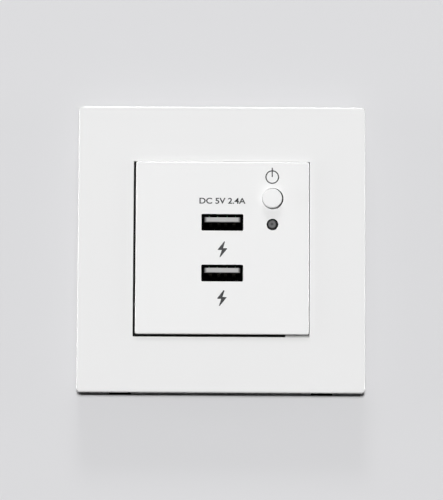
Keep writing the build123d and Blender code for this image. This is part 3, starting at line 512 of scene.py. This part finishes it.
def make_port_place():
    """Where a point lies about the middle of its port, and a mask of what is inside the ports' shells."""
    group, _, end = group_of(
        "port_place",
        [],
        [
            ("Across", "NodeSocketFloat"),
            ("Upright", "NodeSocketFloat"),
            ("Inside", "NodeSocketFloat"),
        ],
    )
    spot = split_node(group, place_node(group))
    half_pitch = port_pitch * MM / 2
    across = offset_node(group, spot["X"], insert_centre.x)
    wrap = group.nodes.new("ShaderNodeMath")
    wrap.operation = "WRAP"
    feed(group, wrap.inputs[0], math_node(group, "SUBTRACT", spot["Z"], insert_centre.z))
    feed(group, wrap.inputs[1], half_pitch)
    feed(group, wrap.inputs[2], -half_pitch)
    upright = wrap.outputs[0]
    height = math_node(group, "SUBTRACT", half_pitch, math_node(group, "ABSOLUTE", upright))
    masks = []
    for distance, half in ((across, shell_half_width), (height, shell_half_height)):
        masks.append(fade_node(group, distance, (half + 2 * shell_skin) * MM, (half + shell_skin) * MM))
    feed(group, end.inputs["Across"], across)
    feed(group, end.inputs["Upright"], upright)
    feed(group, end.inputs["Inside"], math_node(group, "MULTIPLY", *masks))
    return group


moulded_grain = make_moulded_grain()
settled_dust = make_settled_dust()
plating_streaks = make_plating_streaks()
gap_painted_shade = make_gap_painted_shade()
edge_polish = make_edge_polish()
port_place = make_port_place()


# Materials
def blank_material(name):
    """A new material with only its surface shader and output."""
    material = bpy.data.materials.new(name)
    material.use_nodes = True
    return material, material.node_tree, material.node_tree.nodes["Principled BSDF"]


def add_group(tree, group, values):
    """The group placed in a material, with its own values."""
    node = tree.nodes.new("ShaderNodeGroup")
    node.node_tree = group
    for socket, value in values.items():
        feed(tree, node.inputs[socket], value)
    return node


def add_bump(tree, shader, height, depth, strength):
    """A bump of the given depth in metres on the shader's normal."""
    bump = tree.nodes.new("ShaderNodeBump")
    feed(tree, bump.inputs["Height"], height)
    feed(tree, bump.inputs["Distance"], depth)
    feed(tree, bump.inputs["Strength"], strength)
    feed(tree, shader.inputs["Normal"], bump.outputs["Normal"])


def add_painted_shade(tree, surface, gaps):
    """The colour with painted shade laid over it in each gap, given by its reach, lit depth and dark depth.
    """
    for reach, lit_depth, dark_depth in gaps:
        values = {"Reach": reach * MM, "Lit Depth": -lit_depth * MM, "Dark Depth": -dark_depth * MM}
        surface = add_group(tree, gap_painted_shade, {"Color": surface, **values}).outputs["Color"]
    return surface


def add_roughness(tree, shader, mask, amount):
    """More roughness where the mask is 1."""
    roughness = shader.inputs["Roughness"]
    more = math_node(tree, "MULTIPLY", mask, amount)
    feed(tree, roughness, math_node(tree, "ADD", roughness.links[0].from_socket, more))


def lay_painted_shade(tree, shader, mask):
    """Painted shade over the base colour where the mask is 1."""
    surface = shader.inputs["Base Color"]
    feed(tree, surface, mix_color(tree, mask, surface.links[0].from_socket, painted_shade_color))


def add_polish(material, low, high, radius):
    """Glossier rounded edges and matter sides on a square moulding, from its box and its edges' radius."""
    tree = material.node_tree
    shader = tree.nodes["Principled BSDF"]
    half = (high.x - low.x) / 2
    values = {
        "Centre": (low + high) / 2,
        "Face End": half - radius * MM,
        "Edge Start": half - edge_gloss_start * radius * MM,
        "Edge Depth": low.y + radius * MM,
    }
    polish = add_group(tree, edge_polish, values)
    add_roughness(tree, shader, polish.outputs["Side"], side_matting)
    feed(tree, shader.inputs["Coat Weight"], polish.outputs["Mask"])
    feed(tree, shader.inputs["Coat Roughness"], edge_gloss_roughness)
    feed(tree, shader.inputs["Coat IOR"], edge_gloss_index)


def moulded_plastic(
    name, color, roughness, mottle=0.02, grain_scale=1400.0, dust=0.0, specular=0.5, gaps=()
):
    """Injection-moulded plastic with grain, mottle and, where asked, settled dust and painted shade in its
    gaps.
    """
    material, tree, shader = blank_material(name)
    values = {"Color": (*color, 1.0), "Mottle": mottle, "Roughness": roughness, "Grain Scale": grain_scale}
    grain = add_group(tree, moulded_grain, values)
    surface = grain.outputs["Color"]
    if dust:
        surface = add_group(tree, settled_dust, {"Color": surface, "Amount": dust}).outputs["Color"]
    feed(tree, shader.inputs["Base Color"], add_painted_shade(tree, surface, gaps))
    feed(tree, shader.inputs["Roughness"], grain.outputs["Roughness"])
    feed(tree, shader.inputs["Specular IOR Level"], specular)
    add_bump(tree, shader, grain.outputs["Height"], *grain_bump)
    return material


def plated_metal(name, color, stain, roughness, gaps=()):
    """Plated sheet or wire with rolling streaks and stains and, where asked, painted shade in its gaps."""
    material, tree, shader = blank_material(name)
    values = {"Color": (*color, 1.0), "Stain": (*stain, 1.0), "Roughness": roughness}
    plating = add_group(tree, plating_streaks, values)
    feed(tree, shader.inputs["Base Color"], add_painted_shade(tree, plating.outputs["Color"], gaps))
    feed(tree, shader.inputs["Roughness"], plating.outputs["Roughness"])
    feed(tree, shader.inputs["Metallic"], 1.0)
    add_bump(tree, shader, plating.outputs["Height"], *streak_bump)
    return material


def add_tongue_rim_shade(material):
    """Painted shade round the front of both tongues, at their ends, along their top and along their lower
    edge.
    """
    tree = material.node_tree
    place = add_group(tree, port_place, {})
    lower_rim = tongue_bottom - port_pitch / 2
    upper_rim = tongue_top - port_pitch / 2
    fades = (
        ("Across", tongue_half_width - tongue_end_fade, tongue_half_width),
        ("Upright", lower_rim + tongue_lower_fade, lower_rim),
        ("Upright", upper_rim - tongue_upper_fade, upper_rim),
    )
    ends, lower, upper = (fade_node(tree, place.outputs[way], a * MM, b * MM) for way, a, b in fades)
    rim = math_node(tree, "MAXIMUM", ends, math_node(tree, "MAXIMUM", lower, upper))
    lay_painted_shade(tree, tree.nodes["Principled BSDF"], rim)


def add_port_painted_shade(material):
    """Painted shade all over the inside of both ports: black, dull, and without the plating's metal shine."""
    tree = material.node_tree
    shader = tree.nodes["Principled BSDF"]
    inside = add_group(tree, port_place, {}).outputs["Inside"]
    lay_painted_shade(tree, shader, inside)
    add_roughness(tree, shader, inside, port_dullness)
    feed(tree, shader.inputs["Metallic"], math_node(tree, "SUBTRACT", 1.0, inside))
    feed(tree, shader.inputs["Specular IOR Level"], port_specular)


def smoky_lens(name):
    """Diffused lamp lens: a darker middle where the chip lies, and a dark rim that is painted shade from its
    recess.
    """
    material, tree, shader = blank_material(name)
    place = place_node(tree)
    glow = lamp_centre + Vector((lens_glow_at[0], 0.0, lens_glow_at[1])) * MM
    offset = vector_node(tree, "SUBTRACT", place, glow)["Vector"]
    flat = vector_node(tree, "MULTIPLY", offset, (1.0, 0.0, 1.0))["Vector"]
    reach = vector_node(tree, "LENGTH", flat)["Value"]
    spread = math_node(tree, "DIVIDE", reach, (lamp_high.x - lamp_low.x) / 2)
    cloud = swing_node(tree, noise_node(tree, place, *lens_noise), lens_cloud)
    ramp = tree.nodes.new("ShaderNodeValToRGB")
    stops = ramp.color_ramp.elements
    stops[0].position, stops[0].color = lens_core
    stops[1].position, stops[1].color = lens_rim_shade
    for position, level in lens_steps:
        stops.new(position).color = (level, level, level * lens_coolness, 1.0)
    feed(tree, ramp.inputs["Fac"], math_node(tree, "ADD", spread, cloud))
    feed(tree, shader.inputs["Base Color"], ramp.outputs["Color"])
    feed(tree, shader.inputs["Roughness"], lens_roughness)
    feed(tree, shader.inputs["Specular IOR Level"], lens_specular)
    return material


def solder_mask(name):
    """Green circuit board with lighter copper tracks under the mask."""
    material, tree, shader = blank_material(name)
    place = place_node(tree)
    turn = tree.nodes.new("ShaderNodeMapping")
    feed(tree, turn.inputs["Rotation"], (math.radians(90), 0.0, 0.0))
    feed(tree, turn.inputs["Vector"], place)
    tracks = tree.nodes.new("ShaderNodeTexBrick")
    feed(tree, tracks.inputs["Vector"], turn.outputs["Vector"])
    feed(tree, tracks.inputs["Scale"], track_scale)
    feed(tree, tracks.inputs["Mortar Size"], track_gap)
    for socket, color in track_colors.items():
        feed(tree, tracks.inputs[socket], color)
    feed(tree, shader.inputs["Base Color"], tracks.outputs["Color"])
    rough = level_node(tree, noise_node(tree, place, *board_noise), board_roughness, board_roughness_swing)
    feed(tree, shader.inputs["Roughness"], rough)
    add_bump(tree, shader, tracks.outputs["Fac"], *track_bump)
    return material


finishes = {name: moulded_plastic(name, **look) for name, look in moulded_looks.items()}
for name, look in plated_looks.items():
    finishes[name] = plated_metal(name, **look)
finishes["lens_plastic"] = smoky_lens("lens_plastic")
finishes["board"] = solder_mask("board")
add_polish(finishes["frame_plastic"], *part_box("cover_frame"), frame_edge)
add_polish(finishes["panel_plastic"], *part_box("front_panel"), panel_edge)
add_tongue_rim_shade(finishes["tongue_plastic"])
add_port_painted_shade(finishes["shell_metal"])
print_ink = finishes["print_ink"]

for entry in frame["record"]["subparts"]:
    node = cad[entry["node"]]
    for material_slot in node.material_slots:
        material_slot.material = finishes[entry["material_slot"]]


# Pieces
def add_piece(name, mesh, material, body):
    """An object of the given mesh that rides on a body and takes its finish from a slot."""
    piece = bpy.data.objects.new(name, mesh)
    bpy.context.scene.collection.objects.link(piece)
    mesh.materials.append(material)
    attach(piece, body)
    return piece


def mesh_from(name, shape, smooth_angle=None):
    """A mesh made from a finished bmesh, smooth up to the given angle in degrees."""
    bmesh.ops.recalc_face_normals(shape, faces=shape.faces)
    mesh = bpy.data.meshes.new(name)
    shape.to_mesh(mesh)
    shape.free()
    if smooth_angle is not None:
        mesh.shade_smooth()
        mesh.set_sharp_from_angle(angle=math.radians(smooth_angle))
    return mesh


def on_insert(x, z, proud=0.0):
    """A point in front of the insert's face, from millimetres off its centre."""
    return Vector((insert_centre.x + x * MM, insert_face - proud * MM, insert_centre.z + z * MM))


def add_print(shape, outline, joined=()):
    """A thin field of ink on the insert, from its outline in millimetres.

    The edges that join another field are given by their number and get no side face.
    """
    back = [shape.verts.new(on_insert(x, z)) for x, z in outline]
    front = [shape.verts.new(on_insert(x, z, ink_thickness)) for x, z in outline]
    shape.faces.new(front)
    shape.faces.new(back[::-1])
    for index, corner in enumerate(back):
        after = (index + 1) % len(outline)
        if index not in joined:
            shape.faces.new((corner, front[index], front[after], back[after]))


def join_print(shape):
    """Fields of ink that meet become one closed skin."""
    bmesh.ops.remove_doubles(shape, verts=shape.verts, dist=ink_thickness * MM / 10)


def make_power_mark():
    """Ring with an upright bar from its middle to above its top."""
    shape = bmesh.new()
    x, z = power_mark_at
    half = power_stroke / 2
    inner = power_ring_radius - half
    outer = power_ring_radius + half
    step = 2 * math.pi / ring_segments
    for index in range(ring_segments):
        corners = ((inner, index), (outer, index), (outer, index + 1), (inner, index + 1))
        field = [(x + r * math.cos(i * step), z + r * math.sin(i * step)) for r, i in corners]
        add_print(shape, field, joined=(0, 2))
    join_print(shape)
    for low, high in ((0.0, inner), (outer, outer + power_bar_rise)):
        corners = ((-half, low), (half, low), (half, high), (-half, high))
        add_print(shape, [(x + across, z + upright) for across, upright in corners])
    return mesh_from("power_mark", shape)


def make_bolt_mark(name, place):
    """Lightning bolt beside a port."""
    shape = bmesh.new()
    for half in (bolt_waist + bolt_upper_tips, bolt_waist[::-1] + bolt_lower_tips):
        add_print(shape, [(place[0] + x, place[1] + z) for x, z in half], joined=(0,))
    join_print(shape)
    return mesh_from(name, shape)


def text_mesh(name, words, weight=0.0):
    """Raised text as a mesh in its own plane, with its sizes in text units."""
    curve = bpy.data.curves.new(name, "FONT")
    curve.body = words
    curve.extrude = text_depth
    curve.offset = weight
    holder = bpy.data.objects.new(name, curve)
    bpy.context.scene.collection.objects.link(holder)
    bpy.context.view_layer.update()
    mesh = bpy.data.meshes.new_from_object(holder)
    bpy.data.objects.remove(holder)
    bpy.data.curves.remove(curve)
    return mesh


def mesh_span(mesh):
    """Lowest and highest corner of a mesh."""
    points = [vertex.co for vertex in mesh.vertices]
    low = Vector([min(p[axis] for p in points) for axis in range(3)])
    high = Vector([max(p[axis] for p in points) for axis in range(3)])
    return low, high


def fit_text(mesh, size, turn, centre):
    """Text stretched to a width, height and thickness in millimetres, turned and set at a place."""
    low, high = mesh_span(mesh)
    scale = [wanted * MM / made for wanted, made in zip(size, high - low)]
    mesh.transform(Matrix.Translation(-(low + high) / 2))
    mesh.transform(Matrix.Diagonal((*scale, 1.0)))
    mesh.transform(turn)
    mesh.transform(Matrix.Translation(centre))
    return mesh


def ring_point(centre, radius, angle, y):
    """A point round an axis along y."""
    return centre.x + radius * math.cos(angle), y, centre.z + radius * math.sin(angle)


def skin_rings(shape, rings, closed=True):
    """Faces between neighbouring rings of points, where a ring may be a single point."""
    for before, after in zip(rings, rings[1:]):
        count = max(len(before), len(after))
        for index in range(count if closed else count - 1):
            other = (index + 1) % count
            corners = [before[index % len(before)], before[other % len(before)]]
            corners += [after[other % len(after)], after[index % len(after)]]
            shape.faces.new(list(dict.fromkeys(corners)))


def lathe(shape, profile, centre):
    """Closed turned form about an axis along y, from (radius, y) pairs in metres."""
    step = 2 * math.pi / lathe_segments
    rings = []
    for radius, y in profile:
        count = lathe_segments if radius else 1
        rings.append([shape.verts.new(ring_point(centre, radius, index * step, y)) for index in range(count)])
    skin_rings(shape, rings)


def add_block(shape, low, high):
    """Plain block between two corners."""
    size = Vector(high) - Vector(low)
    middle = (Vector(high) + Vector(low)) / 2
    bmesh.ops.create_cube(shape, size=1.0, matrix=Matrix.Translation(middle) @ Matrix.Diagonal((*size, 1.0)))


def make_button_cap():
    """Round cap with a soft edge and a faint crown, its four tabs and its neck."""
    shape = bmesh.new()
    front = button_low.y
    back = -cap_back * MM
    edge = cap_edge * MM
    radius = cap_radius * MM
    crown = cap_crown * MM
    profile = [(0.0, front), ((radius - edge) / 2, front + crown / 4)]
    for step in range(edge_steps + 1):
        angle = math.radians(90 * step / edge_steps)
        along = radius - edge + edge * math.sin(angle)
        profile.append((along, front + crown + edge * (1 - math.cos(angle))))
    profile += [(radius, back), (0.0, back)]
    lathe(shape, profile, button_centre + Vector((0.0, 0.0, cap_lift * MM)))
    reach = (button_high.x - button_low.x) / 2
    half_tab = tab_width * MM / 2
    half_neck = neck_width * MM / 2
    tab_back = back + tab_thickness * MM
    blocks = (
        (reach, half_tab, back, tab_back),
        (half_tab, reach, back, tab_back),
        (half_neck, half_neck, tab_back, button_high.y),
    )
    for x, z, first, last in blocks:
        low = (button_centre.x - x, first, button_centre.z - z)
        high = (button_centre.x + x, last, button_centre.z + z)
        add_block(shape, low, high)
    return mesh_from("button_cap", shape, cap_smooth_angle)


def make_coil_spring():
    """Round wire wound between the switch's base and its plunger."""
    shape = bmesh.new()
    wire = spring_wire * MM
    axis = Vector((0.0, 1.0, 0.0))
    coil_radius = (spring_high.x - spring_low.x) / 2 - wire
    first, last = spring_low.y + wire, spring_high.y - wire
    steps = spring_turns * spring_steps
    rings = []
    for index in range(steps + 1):
        share = index / steps
        turn = 2 * math.pi * spring_turns * share
        outward = Vector((math.cos(turn), 0.0, math.sin(turn)))
        middle = Vector(ring_point(spring_centre, coil_radius, turn, first + (last - first) * share))
        ring = []
        for side in range(wire_sides):
            angle = 2 * math.pi * side / wire_sides
            spoke = math.cos(angle) * outward + math.sin(angle) * axis
            ring.append(shape.verts.new(middle + wire * spoke))
        rings.append(ring)
    skin_rings(shape, rings)
    shape.faces.new(rings[0])
    shape.faces.new(rings[-1])
    return mesh_from("coil_spring", shape, spring_smooth_angle)


def add_thread(shape, centre, start, end):
    """Threaded shank of a terminal screw, closed at its tip."""
    length = end - start
    rows = round(length / (thread_pitch * MM) * thread_steps)
    rings = []
    for row in range(rows + 1):
        y = start + length * row / rows
        ring = []
        for index in range(thread_segments):
            turn = index / thread_segments
            phase = (y / (thread_pitch * MM) - turn) % 1.0
            radius = (screw_shank_radius - thread_depth * abs(2 * phase - 1)) * MM
            ring.append(shape.verts.new(ring_point(centre, radius, 2 * math.pi * turn, y)))
        rings.append(ring)
    skin_rings(shape, rings)
    shape.faces.new(rings[0])


def add_head_half(shape, centre, side, floor, top):
    """Half of a round screw head, beside its slot."""
    head = screw_head_radius * MM
    edge = screw_head_edge * MM
    steps = lathe_segments // 2
    levels = []
    for y, radius in ((floor, head), (top - edge, head), (top, head - edge)):
        start = math.asin(screw_slot_width * MM / 2 / radius)
        span = math.pi - 2 * start
        angles = [side * (start + span * index / steps) for index in range(steps + 1)]
        levels.append([shape.verts.new(ring_point(centre, radius, angle, y)) for angle in angles])
    skin_rings(shape, levels, closed=False)
    shape.faces.new(levels[-1])
    shape.faces.new(levels[0])
    slot_side = [level[0] for level in levels] + [level[-1] for level in reversed(levels)]
    shape.faces.new(slot_side)


def make_clamp_screw(name):
    """Slotted terminal screw with its thread, standing in its CAD node's place."""
    shape = bmesh.new()
    low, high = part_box(name)
    centre = (low + high) / 2
    head = screw_head_radius * MM
    head_seat = high.y - screw_head_height * MM
    slot_floor = high.y - screw_slot_depth * MM
    add_thread(shape, centre, low.y, head_seat)
    lathe(shape, [(0.0, head_seat), (head, head_seat), (head, slot_floor), (0.0, slot_floor)], centre)
    for side in (1, -1):
        add_head_half(shape, centre, side, slot_floor, high.y)
    return mesh_from(name + "_turned", shape, screw_smooth_angle)


add_piece("power_mark", make_power_mark(), print_ink, "socket")
for place_name, place in bolt_places.items():
    mark_name = "bolt_mark_" + place_name
    add_piece(mark_name, make_bolt_mark(mark_name, place), print_ink, "socket")

facing_front = Matrix.Rotation(math.radians(90), 4, "X")
rating_mesh = fit_text(
    text_mesh("rating_line", rating_text, rating_weight),
    (rating_width, rating_cap_height, ink_thickness),
    facing_front,
    on_insert(*rating_at, ink_thickness / 2),
)
add_piece("rating_line", rating_mesh, print_ink, "socket")

button_cap = add_piece(
    "button_cap", make_button_cap(), finishes["button_plastic"], "button"
)
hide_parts("power_button")

coil_spring = add_piece("coil_spring", make_coil_spring(), finishes["screw_steel"], "socket")
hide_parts("switch_spring")
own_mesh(coil_spring)

facing_down = Matrix.Rotation(math.radians(180), 4, "X")
for terminal, letter in entry_letters.items():
    screw_node = terminal + "_screw"
    screw_name = screw_node + "_turned"
    screw_mesh = make_clamp_screw(screw_node)
    screw = add_piece(screw_name, screw_mesh, finishes["screw_steel"], screw_node)
    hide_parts(screw_node)
    screw_low, screw_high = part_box(screw_node)
    letter_x = (screw_low.x + screw_high.x) / 2
    letter_mesh = fit_text(
        text_mesh(terminal + "_letter", letter),
        (letter_width, letter_height, letter_rise),
        facing_down,
        Vector((letter_x, letter_depth * MM, block_underside - letter_rise * MM / 2)),
    )
    add_piece(terminal + "_letter", letter_mesh, finishes["block_plastic"], "socket")


# Stage
def seen_mask(tree):
    """Masks of all rays that show the backdrop, mirrored ones too, and of those straight from the camera."""
    path = tree.nodes.new("ShaderNodeLightPath").outputs
    from_camera = path["Is Camera Ray"]
    direct = math_node(tree, "MAXIMUM", from_camera, path["Is Glossy Ray"])
    return math_node(tree, "MAXIMUM", direct, path["Is Transmission Ray"]), from_camera


def backdrop_material(name, glow):
    """Pale matt paint that takes soft shadows and throws no light back onto the socket.

    The camera sees through it from the back, so the socket shows from behind and from below.
    The glow is the share of its colour that shows without light, which keeps the backdrop even. It ends
    at the frame's outline, where the wall lies in shade. Below the frame the paint itself fades to black
    there too: painted shade for the dark gap behind the frame.
    """
    material, tree, shader = blank_material(name)
    place = place_node(tree)
    spot = split_node(tree, place)
    seen, from_camera = seen_mask(tree)
    outline = cad_box[1][0]
    away = fade_node(tree, square_reach(tree, spot, 0.0, 0.0), outline, outline + contact_shade * MM)
    above = math_node(tree, "GREATER_THAN", spot["Z"], -wall_hole)
    beside = math_node(tree, "GREATER_THAN", offset_node(tree, spot["X"], 0.0), wall_hole)
    # Below the frame the paint fades to black over the contact shade: painted shade for the gap behind the
    # frame
    painted = math_node(tree, "MAXIMUM", away, math_node(tree, "MAXIMUM", above, beside))
    shown = math_node(tree, "MULTIPLY", seen, painted)
    tone = level_node(tree, noise_node(tree, place, *paint_noise), paint_least, paint_swing)
    paint = tree.nodes.new("ShaderNodeHueSaturation")
    feed(tree, paint.inputs["Color"], backdrop_color)
    feed(tree, paint.inputs["Value"], math_node(tree, "MULTIPLY", tone, shown))
    share = math_node(tree, "MULTIPLY", away, glow)
    feed(tree, shader.inputs["Base Color"], mix_color(tree, share, paint.outputs["Color"], unlit))
    feed(tree, shader.inputs["Emission Color"], mix_color(tree, share, unlit, paint.outputs["Color"]))
    feed(tree, shader.inputs["Emission Strength"], 1.0)
    feed(tree, shader.inputs["Roughness"], 1.0)
    feed(tree, shader.inputs["Specular IOR Level"], 0.0)
    back = tree.nodes.new("ShaderNodeNewGeometry").outputs["Backfacing"]
    mix = tree.nodes.new("ShaderNodeMixShader")
    feed(tree, mix.inputs["Fac"], math_node(tree, "MULTIPLY", back, from_camera))
    feed(tree, mix.inputs[1], shader.outputs["BSDF"])
    feed(tree, mix.inputs[2], tree.nodes.new("ShaderNodeBsdfTransparent").outputs["BSDF"])
    feed(tree, tree.nodes["Material Output"].inputs["Surface"], mix.outputs["Shader"])
    return material


def add_stage(name, quads, material):
    """Stage surface made of flat four-cornered fields."""
    mesh = bpy.data.meshes.new(name)
    points = [corner for quad in quads for corner in quad]
    faces = [tuple(range(4 * index, 4 * index + 4)) for index in range(len(quads))]
    mesh.from_pydata(points, [], faces)
    mesh.materials.append(material)
    stage = bpy.data.objects.new(name, mesh)
    bpy.context.scene.collection.objects.link(stage)


def wall_field(left, right, low, high):
    """Upright field of the wall that faces the front."""
    return [(x, wall_front, z) for x, z in ((left, low), (right, low), (right, high), (left, high))]


add_stage(
    "studio_wall",
    [
        wall_field(-wall_reach, wall_reach, floor_level, -wall_hole),
        wall_field(-wall_reach, wall_reach, wall_hole, wall_reach),
        wall_field(-wall_reach, -wall_hole, -wall_hole, wall_hole),
        wall_field(wall_hole, wall_reach, -wall_hole, wall_hole),
    ],
    backdrop_material("wall_paint", wall_glow),
)
floor_corners = ((-1, -1), (1, -1), (1, 1), (-1, 1))
add_stage(
    "studio_floor",
    [[(wall_reach * x, wall_reach * y, floor_level) for x, y in floor_corners]],
    backdrop_material("floor_paint", floor_glow),
)


def add_softbox(name, place, size, power):
    """Rectangular soft light that faces the socket."""
    light = bpy.data.lights.new(name, "AREA")
    light.shape = "RECTANGLE"
    light.size, light.size_y = size
    light.energy = power
    box = bpy.data.objects.new(name, light)
    bpy.context.scene.collection.objects.link(box)
    box.location = place
    box.rotation_euler = (-Vector(place)).to_track_quat("-Z", "Y").to_euler()


for softbox, (place, size, power) in softboxes.items():
    add_softbox(softbox, place, size, power)

world = bpy.data.worlds.new("studio_air")
bpy.context.scene.world = world
world.use_nodes = True
air = world.node_tree
air_color = mix_color(air, seen_mask(air)[0], air_light, backdrop_color)
feed(air, air.nodes["Background"].inputs["Color"], air_color)


# Camera
def add_camera():
    """Camera below the socket that looks slightly up at it, at the photograph's scale and tilt."""
    camera = bpy.data.cameras.new("photo_camera")
    camera.sensor_fit = "VERTICAL"
    camera.sensor_height = sensor_height
    camera.lens = sensor_height * camera_distance / (image_height * mm_per_pixel)
    camera.clip_start = nearest_seen * MM
    camera.clip_end = farthest_seen * MM
    holder = bpy.data.objects.new("photo_camera", camera)
    bpy.context.scene.collection.objects.link(holder)
    right_px = plate_centre_px[0] - image_width / 2
    down_px = plate_centre_px[1] - image_height / 2
    face = (cad_box[0][1] + insert_face) / 2
    aim = Vector((-right_px * mm_per_pixel * MM, face, down_px * mm_per_pixel * MM))
    lift = math.radians(camera_elevation)
    away = Vector((0.0, -math.cos(lift), math.sin(lift)))
    look = (-away).to_track_quat("-Z", "Y").to_matrix().to_4x4()
    roll = Matrix.Rotation(math.radians(camera_roll), 4, "Z")
    holder.matrix_world = Matrix.Translation(aim + camera_distance * MM * away) @ look @ roll
    bpy.context.scene.camera = holder


add_camera()
bpy.context.scene.view_settings.view_transform = "Standard"
